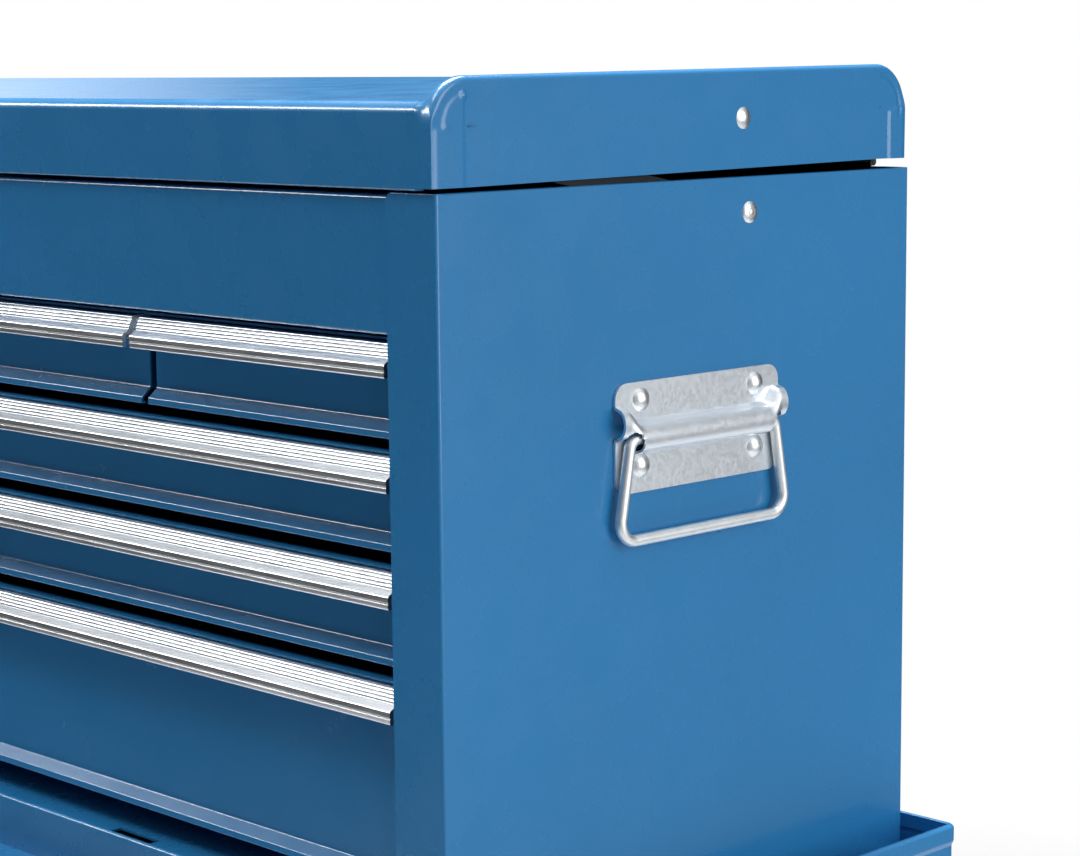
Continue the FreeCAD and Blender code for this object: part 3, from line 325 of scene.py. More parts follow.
class Solid:
    """Gathers closed shells into one mesh."""

    def __init__(self):
        self.points = []
        self.faces = []

    def add(self, points, faces):
        start = len(self.points)
        self.points += [Vector(point) for point in points]
        self.faces += [[start + corner for corner in face] for face in faces]

    def prism(self, outline, low, high, place):
        """A closed 2D outline run from low to high; place turns (along, u, v) into a point."""
        count = len(outline)
        ends = [place(along, u, v) for along in (low, high) for u, v in outline]
        faces = [list(range(count))[::-1], list(range(count, 2 * count))]
        for index in range(count):
            follows = (index + 1) % count
            faces.append([index, follows, count + follows, count + index])
        self.add(ends, faces)

    def strip(self, path, thickness, low, high, place):
        """A folded sheet: an open 2D line thickened to its left and run from low to high."""
        other = offset(path, thickness)
        count = len(path)
        points = [place(along, *p) for along in (low, high) for line in (path, other) for p in line]
        faces = []
        far = 2 * count
        for index in range(count - 1):
            a, b = index, index + 1
            c, d = b + count, a + count
            faces += [
                [a, b, c, d],
                [a + far, d + far, c + far, b + far],
                [a, a + far, b + far, b],
                [d, c, c + far, d + far],
            ]
        last = count - 1
        faces.append([0, count, count + far, far])
        faces.append([last, last + far, last + count + far, last + count])
        self.add(points, faces)

    def patch(self, rows, thickness):
        """A curved sheet: a grid of points thickened against its normals."""
        high, wide = len(rows), len(rows[0])
        count = high * wide
        points, faces = sheet_faces(rows, thickness)
        border = list(range(wide))
        border += [i * wide + wide - 1 for i in range(1, high)]
        border += [(high - 1) * wide + j for j in range(wide - 2, -1, -1)]
        border += [i * wide for i in range(high - 2, 0, -1)]
        for here, follows in zip(border, border[1:] + border[:1]):
            faces.append([follows, here, here + count, follows + count])
        self.add(points, faces)

    def pan(self, rows, thickness):
        """A sheet like patch, whose last column is the border of a flat middle."""
        high, wide = len(rows), len(rows[0])
        count = high * wide
        points, faces = sheet_faces(rows, thickness)
        for a in range(0, count - wide, wide):
            faces.append([a, a + wide, a + wide + count, a + count])
        last = count - wide
        for j in range(wide - 1):
            faces.append([j + 1, j, j + count, j + 1 + count])
            faces.append([last + j, last + j + 1, last + j + 1 + count, last + j + count])
        ring = [i * wide + wide - 1 for i in range(high)]
        faces.append(ring)
        faces.append([corner + count for corner in reversed(ring)])
        faces.append([ring[0], ring[-1], ring[-1] + count, ring[0] + count])
        self.add(points, faces)

    def lathe(self, profile, centre, axis, sides=48):
        """A turned solid: (along, radius) points round an axis through centre."""
        spin = Vector(axis).normalized()
        side = spin.orthogonal().normalized()
        up = spin.cross(side)
        count = len(profile)
        points = []
        for step in range(sides):
            turn = math.tau * step / sides
            out = side * math.cos(turn) + up * math.sin(turn)
            points += [Vector(centre) + spin * along + out * radius for along, radius in profile]
        faces = []
        for step in range(sides):
            a, b = step * count, (step + 1) % sides * count
            for index in range(count - 1):
                faces.append([a + index, b + index, b + index + 1, a + index + 1])
        if profile[0] != profile[-1]:
            faces.append([step * count for step in range(sides)][::-1])
            faces.append([step * count + count - 1 for step in range(sides)])
        self.add(points, faces)

    def loop(self, path, radius, sides):
        """A round wire along a closed 3D line."""
        count = len(path)
        points = []
        normal = (path[1] - path[0]).orthogonal().normalized()
        for index, here in enumerate(path):
            run = (path[(index + 1) % count] - path[index - 1]).normalized()
            normal = (normal - run * normal.dot(run)).normalized()
            other = run.cross(normal)
            for step in range(sides):
                turn = math.tau * step / sides
                points.append(here + (normal * math.cos(turn) + other * math.sin(turn)) * radius)
        faces = []
        for index in range(count):
            a, b = index * sides, (index + 1) % count * sides
            for step in range(sides):
                follows = (step + 1) % sides
                faces.append([a + step, a + follows, b + follows, b + step])
        self.add(points, faces)

    def block(self, low, high):
        """A box between two corners; its edges are rounded with the rest of the piece."""
        outline = [(low[1], low[2]), (high[1], low[2]), (high[1], high[2]), (low[1], high[2])]
        self.prism(outline, low[0], high[0], along_x)


def along_x(along, u, v):
    return Vector((along, u, v))


def along_y(along, u, v):
    return Vector((u, along, v))


def soften(piece, width):
    """Rounds the sharp edges and keeps flat faces flat in the shading."""
    if width:
        edges = piece.modifiers.new("Edges", "BEVEL")
        edges.width = width
        edges.segments = 2
        edges.limit_method = "ANGLE"
        edges.angle_limit = math.radians(50)
        edges.miter_outer = "MITER_ARC"
    shading = piece.modifiers.new("Shading", "WEIGHTED_NORMAL")
    shading.keep_sharp = True
    shading.weight = 80


def sided(name, side, sides):
    """The name of one side's piece, body or node, unless it is single or shared by both."""
    if len(sides) == 1 or name in ("casing", "lid", "side_handle_plates"):
        return name
    return f"{name}_{'right' if side > 0 else 'left'}"


def finish_piece(name, solid, body, look, nodes=(), edge=0.25 * MM, sides=(1,)):
    """Makes the piece, for each side in turn: 1 as it is, -1 its mirror image."""
    made = []
    for side in sides:
        points = [Vector((p.x * side, p.y, p.z)) for p in solid.points]
        faces = [face[::side] for face in solid.faces]
        piece = mesh_object(sided(name, side, sides), points, faces)
        tidy_mesh(piece.data)
        piece.data.polygons.foreach_set("use_smooth", [True] * len(piece.data.polygons))
        piece.data.materials.append(MATERIALS[look])
        soften(piece, edge)
        if edge == 0:
            piece.data.set_sharp_from_angle(angle=math.radians(42))
        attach(piece, sided(body, side, sides))
        for node in nodes:
            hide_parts(sided(node, side, sides))
        made.append(piece)
    return made


def tidy_mesh(mesh):
    """Merges doubled points and turns every face outwards."""
    work = bmesh.new()
    work.from_mesh(mesh)
    bmesh.ops.remove_doubles(work, verts=work.verts, dist=0.002 * MM)
    bmesh.ops.recalc_face_normals(work, faces=work.faces)
    work.to_mesh(mesh)
    work.free()


# ---- chest casing
def corner_drop(edge, radius):
    """How far a rounded corner falls short of a square one, at this distance from its edge."""
    if edge >= radius:
        return 0.0
    return radius - math.sqrt(max(0.0, radius**2 - (radius - edge) ** 2))


def folded_side(name, low, high):
    """A side panel: skin, front and rear flanges, and a narrow flange turned in along its top."""
    half, front, rear, foot, top = high.x, low.y, high.y, low.z, high.z
    bend, corner = 1.5 * MM, 4 * MM
    path = rounded(
        [(half - FRONT_FLANGE, front), (half, front), (half, rear), (half - REAR_FLANGE, rear)],
        [0, bend, bend, 0],
        8,
    )
    path = with_more_points(path, corner)
    travelled = [0.0]
    for a, b in zip(path, path[1:]):
        travelled.append(travelled[-1] + (b - a).length)
    total = travelled[-1]
    # Along the skin the top turns over with this radius and flat; the flanges have a cut edge.
    turn, flat, cut_edge = 1.4 * MM, 1.2 * MM, 0.35 * MM
    skin_from = FRONT_FLANGE + bend
    skin_to = total - REAR_FLANGE - bend
    grid = []
    for point, inward, at in zip(path, side_normals(path), travelled):
        share = max(0.0, min(1.0, min(at - skin_from, skin_to - at) / (4 * MM)))
        radius = turn * share + cut_edge * (1 - share)
        column_top = top - corner_drop(min(at, total - at), corner)
        column = [(0.0, foot), (0.0, foot + 40 * MM), (0.0, column_top - 40 * MM)]
        column.append((0.0, column_top - radius))
        for step in range(1, 7):
            angle = math.pi / 2 * step / 6
            rise = column_top - radius + radius * math.sin(angle)
            column.append((radius * (1 - math.cos(angle)), rise))
        column.append((radius + 0.3 * MM + flat * share, column_top))
        grid.append([Vector((*(point + inward * into), z)) for into, z in column])
    solid = Solid()
    solid.patch([column[::-1] for column in grid], SHEET)
    finish_piece(name, solid, "casing", "paint", [name], edge=0.2 * MM, sides=(1, -1))


def with_more_points(path, corner):
    """Adds points near the free ends and near the bends, where the top edge changes."""
    ends = [corner * (1 - math.cos(math.pi / 2 * step / 5)) for step in range(1, 6)]
    dense = []
    for index, (a, b) in enumerate(zip(path, path[1:])):
        dense.append(a)
        long = (b - a).length
        if long < 8 * MM:
            continue
        stops = []
        if index == 0:
            stops += ends
        if index == len(path) - 2:
            stops += [long - stop for stop in reversed(ends)]
        if 0 < index < len(path) - 2:
            near = [1 * MM, 2 * MM, 3 * MM, 4 * MM, 6 * MM]
            middle = [long * step / 8 for step in range(1, 8)]
            stops += near + middle + [long - stop for stop in reversed(near)]
        dense += [a.lerp(b, stop / long) for stop in stops]
    dense.append(path[-1])
    return dense


def chest_casing():
    """The chest's sides, the band over its drawers, and its slotted base."""
    folded_side("chest_side", SIDE_LOW, SIDE_HIGH)
    wall = HALF - SHEET

    band = Solid()
    y, top, foot = BAND_LOW.y, BAND_HIGH.z, BAND_LOW.z
    outline = [(y + 20 * MM, foot), (y, foot), (y, top), (y + 13 * MM, top)]
    path = rounded(outline, [0, 1.6 * MM, 2.0 * MM, 0])
    band.strip(path[::-1], SHEET, -wall, wall, along_x)
    finish_piece("chest_front_band", band, "casing", "paint", ["chest_front_band"])

    base = Solid()
    y, z = BASE_LOW.y, BASE_HIGH.z
    slot_near, slot_far = y + 2.3 * MM, y + 8.3 * MM
    outline = rounded([(y, TRAY), (y, z), (y + 14 * MM, z)], [0, 1.6 * MM, 0])
    skirt = [point for point in outline if point.y < z or point.x < slot_near]
    base.strip((skirt + [Vector((slot_near, z))])[::-1], SHEET, -wall, wall, along_x)
    rear = rounded([(slot_far, z), (BASE_HIGH.y, z), (BASE_HIGH.y, TRAY)], [0, 2 * MM, 0])
    base.strip(rear[::-1], SHEET, -wall, wall, along_x)
    # The strips of metal beside the two slots join the front skirt to the base sheet.
    slot_half, slot_middle = 15.5 * MM, 166 * MM
    edges = [-wall, -slot_middle - slot_half, -slot_middle + slot_half]
    edges += [slot_middle - slot_half, slot_middle + slot_half, wall]
    for low, high in zip(edges[::2], edges[1::2]):
        base.strip([Vector((slot_far, z)), Vector((slot_near, z))], SHEET, low, high, along_x)
    finish_piece("chest_base_panel", base, "casing", "paint", ["chest_base_panel"], edge=0)


# ---- lid
def sheet_height(y):
    """Height of the lid's top sheet, which climbs a little towards the rear."""
    share = (y - LID_LOW.y) / (LID_HIGH.y - LID_LOW.y)
    return LID_HIGH.z - 7 * MM * (1 - share)


def lid_sheet():
    """The top sheet with its front and rear skirts, ending in line with the end ribs."""
    front, rear, foot = LID_LOW.y, LID_HIGH.y, LID_LOW.z
    front_top, rear_top = (front, sheet_height(front)), (rear, sheet_height(rear))
    outline = [(front + 5 * MM, foot), (front, foot), front_top, rear_top, (rear, foot + 3.4 * MM)]
    path = rounded(outline, [0, 1.3 * MM, SHEET_BEND, SHEET_BEND, 0], 8)
    sheet = Solid()
    end = HALF - 10 * MM
    sheet.strip(path[::-1], SHEET, -end, end, along_x)
    finish_piece("lid_top_sheet", sheet, "lid", "paint", ["lid_top_sheet"], edge=0.04 * MM)


def smooth(value):
    """An S-shaped ramp from 0 to 1, flat at both ends and beyond them."""
    value = max(0.0, min(1.0, value))
    return value * value * (3 - 2 * value)


def groove(distance, width):
    """1 on the line, falling to 0 at width."""
    return 1 - smooth(abs(distance) / width)


def end_relief(y, z):
    """How far the lid's end stands out at a place on it: its welded tabs show through."""
    front, rear = LID_END_LOW.y, LID_END_HIGH.y
    arc_z = TOP + 26 * MM
    # The front tab is raised up to an arc inside the corner, and has a notch at its top.
    tab_y = front + 18.4 * MM
    arc_y, arc_radius = front + 20 * MM, 13.5 * MM
    under_arc = 1.0
    if y < arc_y and z > arc_z:
        under_arc = (arc_radius - math.hypot(y - arc_y, z - arc_z)) / (1.3 * MM)
    from_notch = math.hypot(y - tab_y + 0.4 * MM, z - arc_z - 12.5 * MM)
    from_dimple = math.hypot((y - front - 8.5 * MM) / 2.2, z - arc_z)
    relief = 0.28 * MM * smooth((tab_y - y) / (0.9 * MM)) * smooth(under_arc + 0.5)
    relief += 0.9 * MM * groove(from_notch, 2.4 * MM)
    relief += 0.25 * MM * groove(from_dimple, 1.5 * MM)
    # The rear tab is lower, with a stepped top and a groove round its corner.
    rear_tab = rear - 13.6 * MM
    step_z = TOP + 27.2 * MM + 2.2 * MM * smooth((y - rear_tab) / (7 * MM))
    relief += 0.7 * MM * smooth((y - rear_tab) / (0.9 * MM)) * smooth((step_z - z) / (1.0 * MM))
    if y > rear - 20 * MM and z > arc_z - 1 * MM:
        radial = math.hypot(y - rear + 20 * MM, z - arc_z - 3 * MM)
        relief -= 0.5 * MM * groove(radial - 14.5 * MM, 1.6 * MM)
    return relief


def inside_sheet(y, z):
    """Whether a place lies under the top sheet and between its skirts."""
    from_side = min(y - LID_LOW.y, LID_HIGH.y - y)
    under = sheet_height(y) - z
    slack = 0.001 * MM
    if from_side < SHEET_BEND and under < SHEET_BEND:
        return math.hypot(SHEET_BEND - from_side, SHEET_BEND - under) <= SHEET_BEND + slack
    return from_side >= -slack and under >= -slack


def rib_height(point, inward):
    """How far the end's edge stands above the sheet, measured inwards from a point on it."""
    step, outside, inside = 0.1 * MM, 10, 130
    for count in range(-outside, inside):
        place = point + inward * (step * count)
        if inside_sheet(place.x, place.y):
            return step * count
    return 0.0


def lid_ends():
    """The end panels: a flat end turned over a rib that swells out of the top sheet."""
    front, rear = LID_END_LOW.y, LID_END_HIGH.y
    corner, wide, swell = 20 * MM, 10 * MM, 6 * MM
    front_top, rear_top = TOP + 46 * MM, LID_END_HIGH.z
    foot_front, foot_rear = LID_END_LOW.z, LID_END_LOW.z + 2.4 * MM
    lean = 0.5 * MM  # the rear edge slants in towards its foot
    outline = [(front, foot_front), (front, front_top), (rear, rear_top), (rear - lean, foot_rear)]
    path = []
    raw = rounded(outline, [0, corner, corner, 0], 26)
    for a, b in zip(raw, raw[1:]):
        path.append(a)
        long = (b - a).length
        pieces = 1 if long < 3 * MM else (round(long / (1.1 * MM)) if long < 60 * MM else 24)
        path += [a.lerp(b, step / pieces) for step in range(1, pieces)]
    path.append(raw[-1])
    rows = []
    for point, normal in zip(path, side_normals(path)):
        inward = -normal  # the line runs up, over and down, so left is outside
        rise = rib_height(point, inward)
        bend = (0.6 + 2.0 * smooth((point.y - TOP - 27 * MM) / (9 * MM))) * MM
        column = [(HALF - wide, rise + 2.5 * MM)]
        for step in range(11):
            share = step / 10
            column.append((HALF - wide + swell * share, rise * (1 + math.cos(math.pi * share)) / 2))
        for step in range(9):
            angle = math.pi / 2 * step / 8
            column.append((HALF - bend + bend * math.sin(angle), bend * (1 - math.cos(angle))))
        column += [(HALF, bend + (corner - bend) * step / 21) for step in range(1, 22)]
        row = []
        for x, into in column:
            y, z = point + inward * into
            out = end_relief(y, z) * smooth((into - bend) / (3 * MM)) if x == HALF else 0
            row.append(Vector((x + out, y, z)))
        rows.append(row)
    solid = Solid()
    solid.pan(rows, SHEET)
    finish_piece("lid_end", solid, "lid", "paint", ["lid_end"], edge=0, sides=(1, -1))


# ---- drawers
def pull_profile():
    """Outline of the aluminium strip, in millimetres behind its nose and above its top."""
    ribs = []
    start, end = Vector((6.9, -0.9)), Vector((4.0, -6.6))
    run = (end - start).normalized()
    out = Vector((-run.y, run.x)) * -1
    count = 4
    pitch = (end - start).length / count
    for index in range(count):
        foot = start + run * pitch * index
        for share in (0.0, 0.12, 0.3, 0.5, 0.7, 0.88):
            rise = 0.5 * math.sin(math.pi * share) ** 0.7 if share else 0.0
            ribs.append(foot + run * pitch * share + out * rise)
    ribs.append(end)
    nose = rounded(
        [(4.0, -6.6), (0.1, -9.3), (0.0, -11.6), (0.35, -11.9), (0.35, -12.3), (0.0, -12.6)],
        [0, 1.0, 0.2, 0.1, 0.1, 0],
        4,
    )
    foot = rounded(
        [(0.0, -12.6), (0.15, -14.9), (2.2, -14.9), (2.0, -9.6), (5.3, -7.2), (8.6, -2.2)],
        [0, 0.9, 0.6, 0.5, 0.5, 0],
        4,
    )
    back = [Vector((13.6, -2.2)), Vector((13.6, -13)), Vector((14.9, -13)), Vector((14.9, -0.3))]
    return ribs + nose[1:] + foot[1:] + back


PULL = [point * MM for point in pull_profile()]


def drawer_pull(label, front, top, low_x, high_x):
    """The ribbed aluminium strip along the drawer's top edge."""
    solid = Solid()
    outline = [(front + point.x, top + point.y) for point in PULL]
    solid.prism(outline, low_x + 0.2 * MM, high_x - 0.2 * MM, along_x)
    piece = finish_piece(f"{label}_pull", solid, label, "pull", [f"{label}_pull"], edge=0)[0]
    piece.data.set_sharp_from_angle(angle=math.radians(30))


def drawer_front(label, front, top, lip, low_x, high_x):
    """The folded front: strip over the pull, set-back face, slope and lip."""
    face = front + 15 * MM
    outline = [(front + 9 * MM, top), (face, top), (face, lip + 7.4 * MM)]
    outline += [(front + 10 * MM, lip + 3.0 * MM), (front + 9.4 * MM, lip), (front + 12 * MM, lip)]
    path = rounded(outline, [0, 0.4 * MM, 1.3 * MM, 1.1 * MM, 0.7 * MM, 0])
    solid = Solid()
    solid.strip(path, DRAWER_SHEET, low_x, high_x, along_x)
    finish_piece(f"{label}_front", solid, label, "drawer", [label], edge=0.18 * MM)


def drawer_box(label, low, high, front, top, lip):
    """Floor, sides with out-turned runners, and a back wall."""
    runner, gap = 8.3 * MM, 10.8 * MM
    left, right = low.x + gap, high.x - gap
    floor, side_top = lip + 4 * MM, top - 6 * MM
    start, rear = front + 16.2 * MM, high.y
    outline = [(left - runner, side_top), (left, side_top), (left, floor)]
    outline += [(right, floor), (right, side_top), (right + runner, side_top)]
    path = rounded(outline, [0, 1.1 * MM, 2.0 * MM, 2.0 * MM, 1.1 * MM, 0], 5)
    solid = Solid()
    solid.strip(path, DRAWER_SHEET, start, rear - DRAWER_SHEET, along_y)
    back = rounded([(rear - 9 * MM, side_top), (rear, side_top), (rear, floor)], [0, 1.2 * MM, 0], 5)
    solid.strip(back[::-1], DRAWER_SHEET, left + 0.1 * MM, right - 0.1 * MM, along_x)
    finish_piece(f"{label}_box", solid, label, "drawer", [label], edge=0.2 * MM)


def drawers():
    """A pull, a front and a box for every drawer of the chest and the cabinet."""
    labels = [name for name in frame["nodes"] if f"{name}_pull" in frame["nodes"]]
    for label in sorted(labels):
        pull_low, pull_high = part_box(f"{label}_pull")
        low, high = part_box(label)
        front, top, lip = pull_low.y, pull_high.z, low.z
        drawer_pull(label, front, top, pull_low.x, pull_high.x)
        drawer_front(label, front, top, lip, low.x, high.x)
        drawer_box(label, low, high, front, top, lip)


# ---- side handles
AXIS_Y = (BAIL_LOW.y + BAIL_HIGH.y) / 2
BAIL_JOINT = Vector(JOINTS["bail_right_swing"]["pos_m"])
WIRE = 2.6 * MM
BAIL_FOOT_HALF = BAIL_HIGH.y - AXIS_Y - WIRE
BAIL_TOP_HALF = BAIL_FOOT_HALF - 8.1 * MM


def handle_height(y, z):
    """How far the pressed plate's outer face stands off the side panel."""
    gauge = 1.5 * MM
    away = abs(y)
    flare = smooth((away - 42 * MM) / (8 * MM))
    centre = BAIL_JOINT.z + flare * 6.8 * MM
    reach = 7.3 * MM + 0.2 * MM * flare
    rise = 9.4 * MM - 1.6 * MM * flare
    across = (z - centre) / reach
    if abs(across) >= 1:
        return gauge
    round_top = math.sqrt(1 - across * across)
    foot = smooth((1 - abs(across)) / 0.2)
    return gauge + (rise - gauge) * (round_top * (0.5 + 0.5 * foot))


def handle_plate():
    """A zinc plate with a barrel pressed out of it that opens into a mouth at each end."""
    low_y, high_y = PLATE_LOW.y - AXIS_Y, PLATE_HIGH.y - AXIS_Y
    low_z, high_z = PLATE_LOW.z, PLATE_HIGH.z
    corner, columns = 7 * MM, 72
    pressed_from, pressed = BAIL_JOINT.z - 8 * MM, 24 * MM
    eases = [corner * (1 - math.cos(math.pi / 2 * step / 6)) for step in range(7)]
    lines = {low_z + ease for ease in eases} | {high_z - ease for ease in eases}
    lines |= {low_z + corner + (pressed_from - low_z - corner) * step / 4 for step in range(5)}
    lines |= {pressed_from + pressed * step / 46 for step in range(47)}
    rows = []
    for z in sorted(lines):
        inset = corner_drop(min(z - low_z, high_z - z), corner)
        row = []
        for column in range(columns + 1):
            eased = 0.5 - 0.5 * math.cos(math.pi * column / columns)
            y = (low_y + inset) * (1 - eased) + (high_y - inset) * eased
            row.append(Vector((HALF + handle_height(y, z), AXIS_Y + y, z)))
        rows.append(row)
    solid = Solid()
    solid.add(*grid_with_cuts(rows, 1.3 * MM, WIRE + 1.7 * MM))
    finish_piece(
        "handle_plate", solid, "casing", "plate", ["side_handle_plates"], edge=0, sides=(1, -1)
    )


def grid_with_cuts(rows, thickness, hole):
    """The plate's grid as a closed sheet, cut away round the wire and below the barrel's ends."""
    high, wide = len(rows), len(rows[0])
    outer = [point for row in rows for point in row]
    inner = [point for row in thickened(rows, thickness) for point in row]
    for point in inner:
        point.x = max(HALF + 0.05 * MM, point.x)  # clear of the side panel
    leg, axis = BAIL_TOP_HALF, BAIL_JOINT.z

    def is_open(i, j):
        middle = (rows[i][j] + rows[i + 1][j + 1]) / 2
        y, z = abs(middle.y - AXIS_Y), middle.z
        near = math.hypot(y - leg, z - axis + 1.0 * MM) < hole
        below = y > leg - hole and z < axis
        return middle.x > HALF + 1.9 * MM and (near or below)

    count = high * wide
    edges = {}
    faces = []
    for i in range(high - 1):
        for j in range(wide - 1):
            if is_open(i, j):
                continue
            a = i * wide + j
            quad = [a, a + 1, a + wide + 1, a + wide]
            faces += [quad, [corner + count for corner in reversed(quad)]]
            for here, follows in zip(quad, quad[1:] + quad[:1]):
                edges[(here, follows)] = True
    for here, follows in edges:
        if (follows, here) not in edges:
            faces.append([follows, here, here + count, follows + count])
    used = sorted({corner for face in faces for corner in face})
    renumber = {old: new for new, old in enumerate(used)}
    everything = outer + inner
    points = [everything[old] for old in used]
    return points, [[renumber[corner] for corner in face] for face in faces]


def bails():
    """The wire handle: a closed trapezoid loop of galvanised wire."""
    x, axis, low = BAIL_JOINT.x, BAIL_JOINT.z, BAIL_LOW.z + WIRE
    corners = [
        Vector((x, AXIS_Y - BAIL_TOP_HALF, axis)),
        Vector((x, AXIS_Y - BAIL_FOOT_HALF, low)),
        Vector((x, AXIS_Y + BAIL_FOOT_HALF, low)),
        Vector((x, AXIS_Y + BAIL_TOP_HALF, axis)),
    ]
    radii = [5 * MM, 8.5 * MM, 8.5 * MM, 5 * MM]
    path = []
    for index, (corner, radius) in enumerate(zip(corners, radii)):
        before, after = corners[index - 1], corners[(index + 1) % 4]
        path += corner_arc(before, corner, after, radius, 14)
        start = path[-1]
        path += [start.lerp(after, share) for share in (0.25, 0.45, 0.65)]
    solid = Solid()
    solid.loop(path, WIRE, 28)
    finish_piece("handle_bail", solid, "bail", "wire", ["handle_bail"], edge=0, sides=(1, -1))


def dome_profile(radius, rise, shank, length):
    """Profile of a domed rivet head on its shank, as (along, radius) from the seat."""
    ball = (radius * radius + rise * rise) / (2 * rise)
    reach = math.asin(radius / ball)
    rim, tip, steps = 0.25 * MM, 0.0001 * MM, 10
    profile = [(-length, tip), (-length, shank), (0.0, shank), (0.0, radius)]
    profile.append((rim, radius + 0.05 * MM))
    for step in range(1, steps + 1):
        turn = reach * (1 - step / steps)
        along = rim + ball * math.cos(turn) - ball + rise
        profile.append((along, max(tip, ball * math.sin(turn))))
    return profile


def rivets():
    """Four domed rivets on each handle plate, and the rivets that hold the lid stays."""
    out = (1, 0, 0)
    handle = Solid()
    head = dome_profile(radius=5.1 * MM, rise=2.4 * MM, shank=2 * MM, length=5 * MM)
    for y in (AXIS_Y - 37.5 * MM, AXIS_Y + 37.5 * MM):
        for z in (TOP - 92.8 * MM, TOP - 121.5 * MM):
            handle.lathe(head, (HALF + 1.5 * MM, y, z), out, 40)
    finish_piece("handle_rivets", handle, "casing", "rivet", edge=0, sides=(1, -1))
    stay = JOINTS["stay_lower_right_pivot"]["pos_m"]
    blind = Solid()
    ring = in_mm((-6, 1), (-6, 2), (0, 2), (0, 4.8), (0.35, 4.9), (0.9, 4.5), (1.5, 3.2))
    ring += in_mm((1.7, 1.7), (1.5, 1.2), (1, 1), (-6, 1))
    blind.lathe(ring, (HALF, stay[1], stay[2]), out, 40)
    finish_piece("stay_body_rivet", blind, "casing", "rivet", edge=0, sides=(1, -1))
    pivot = JOINTS["stay_upper_right_pivot"]["pos_m"]
    upper = Solid()
    head = dome_profile(radius=4.6 * MM, rise=1.5 * MM, shank=2 * MM, length=6 * MM)
    upper.lathe(head, (HALF, pivot[1], pivot[2]), out, 40)
    finish_piece("stay_lid_rivet", upper, "lid", "rivet", edge=0, sides=(1, -1))


# ---- lock
def lock():
    """The lock's barrel with its bezel, and the hexagonal nut behind the band."""
    low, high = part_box("chest_lock_barrel")
    centre = Vector(((low.x + high.x) / 2, low.y, (low.z + high.z) / 2))
    bore, body, nut = 6.06, 8, 11
    bezel = in_mm((0.6, bore), (0, bore + 0.5), (0, 8.2), (0.35, 9.2), (1.2, 10), (2, 10))
    tail = in_mm((2, body), (20, body), (20, bore), (0.6, bore))
    barrel = Solid()
    barrel.lathe(bezel + tail, centre, (0, 1, 0), 56)
    hexagon = in_mm((3.3, body), (3.3, nut), (7.2, nut), (7.2, body), (3.3, body))
    barrel.lathe(hexagon, centre, (0, 1, 0), 6)
    finish_piece(
        "chest_lock_barrel", barrel, "casing", "chrome", ["chest_lock_barrel"], edge=0.15 * MM
    )


# ---- cabinet
def cabinet():
    """The roller cabinet's sides, and the tray on it with a beaded wall round three sides."""
    folded_side("cabinet_side", CABINET_LOW, CABINET_HIGH)
    front, rear, top = TRAY_LOW.y, TRAY_HIGH.y, TRAY_HIGH.z
    wall, outside = CABINET_HIGH.x, TRAY_HIGH.x
    inside = wall - SHEET - 1.2 * MM
    bead = [
        (wall, TRAY - SHEET),
        (wall, top - 10.5 * MM),
        (outside, top - 8 * MM),
        (outside, top - 1.2 * MM),
        (outside - 1.4 * MM, top),
        (inside, top),
        (inside, top - 7 * MM),
    ]
    path = rounded(bead, [0, 1.2 * MM, 1.8 * MM, 1.2 * MM, 1.0 * MM, 0.5 * MM, 0], 5)
    # The side walls run back and round the rear corners into the rear wall.
    rows = [
        [Vector((p.x, y, p.y)) for p in path] for y in (front, front + 20 * MM, rear - 30 * MM)
    ]
    corner = 4 * MM
    middle = Vector((wall - corner, rear - corner - (outside - wall)))
    for step in range(9):
        angle = math.pi / 2 * step / 8
        turned = Vector((math.cos(angle), math.sin(angle)))
        row = [(middle + turned * (corner + p.x - wall), p.y) for p in path]
        rows.append([Vector((*place, z)) for place, z in row])
    left_rows = [[Vector((-p.x, p.y, p.z)) for p in row] for row in reversed(rows)]
    sides = Solid()
    sides.patch([row[::-1] for row in rows + left_rows], SHEET)
    finish_piece("cabinet_tray_wall", sides, "casing", "paint", ["cabinet_top_tray"], edge=0.15 * MM)
    floor = Solid()
    lip = TRAY_LOW.z
    outline = [(rear - 2 * MM, TRAY), (front, TRAY), (front, lip), (front + 6 * MM, lip)]
    path = rounded(outline, [0, 2.0 * MM, 1.5 * MM, 0])
    floor.strip(path, SHEET, -wall, wall, along_x)
    finish_piece("cabinet_tray_floor", floor, "casing", "paint", ["cabinet_top_tray"])


# ---- casters
def mirrored(profile):
    """The profile from its last point back to its first, on the other side of the middle."""
    return [(-along, out) for along, out in reversed(profile)]


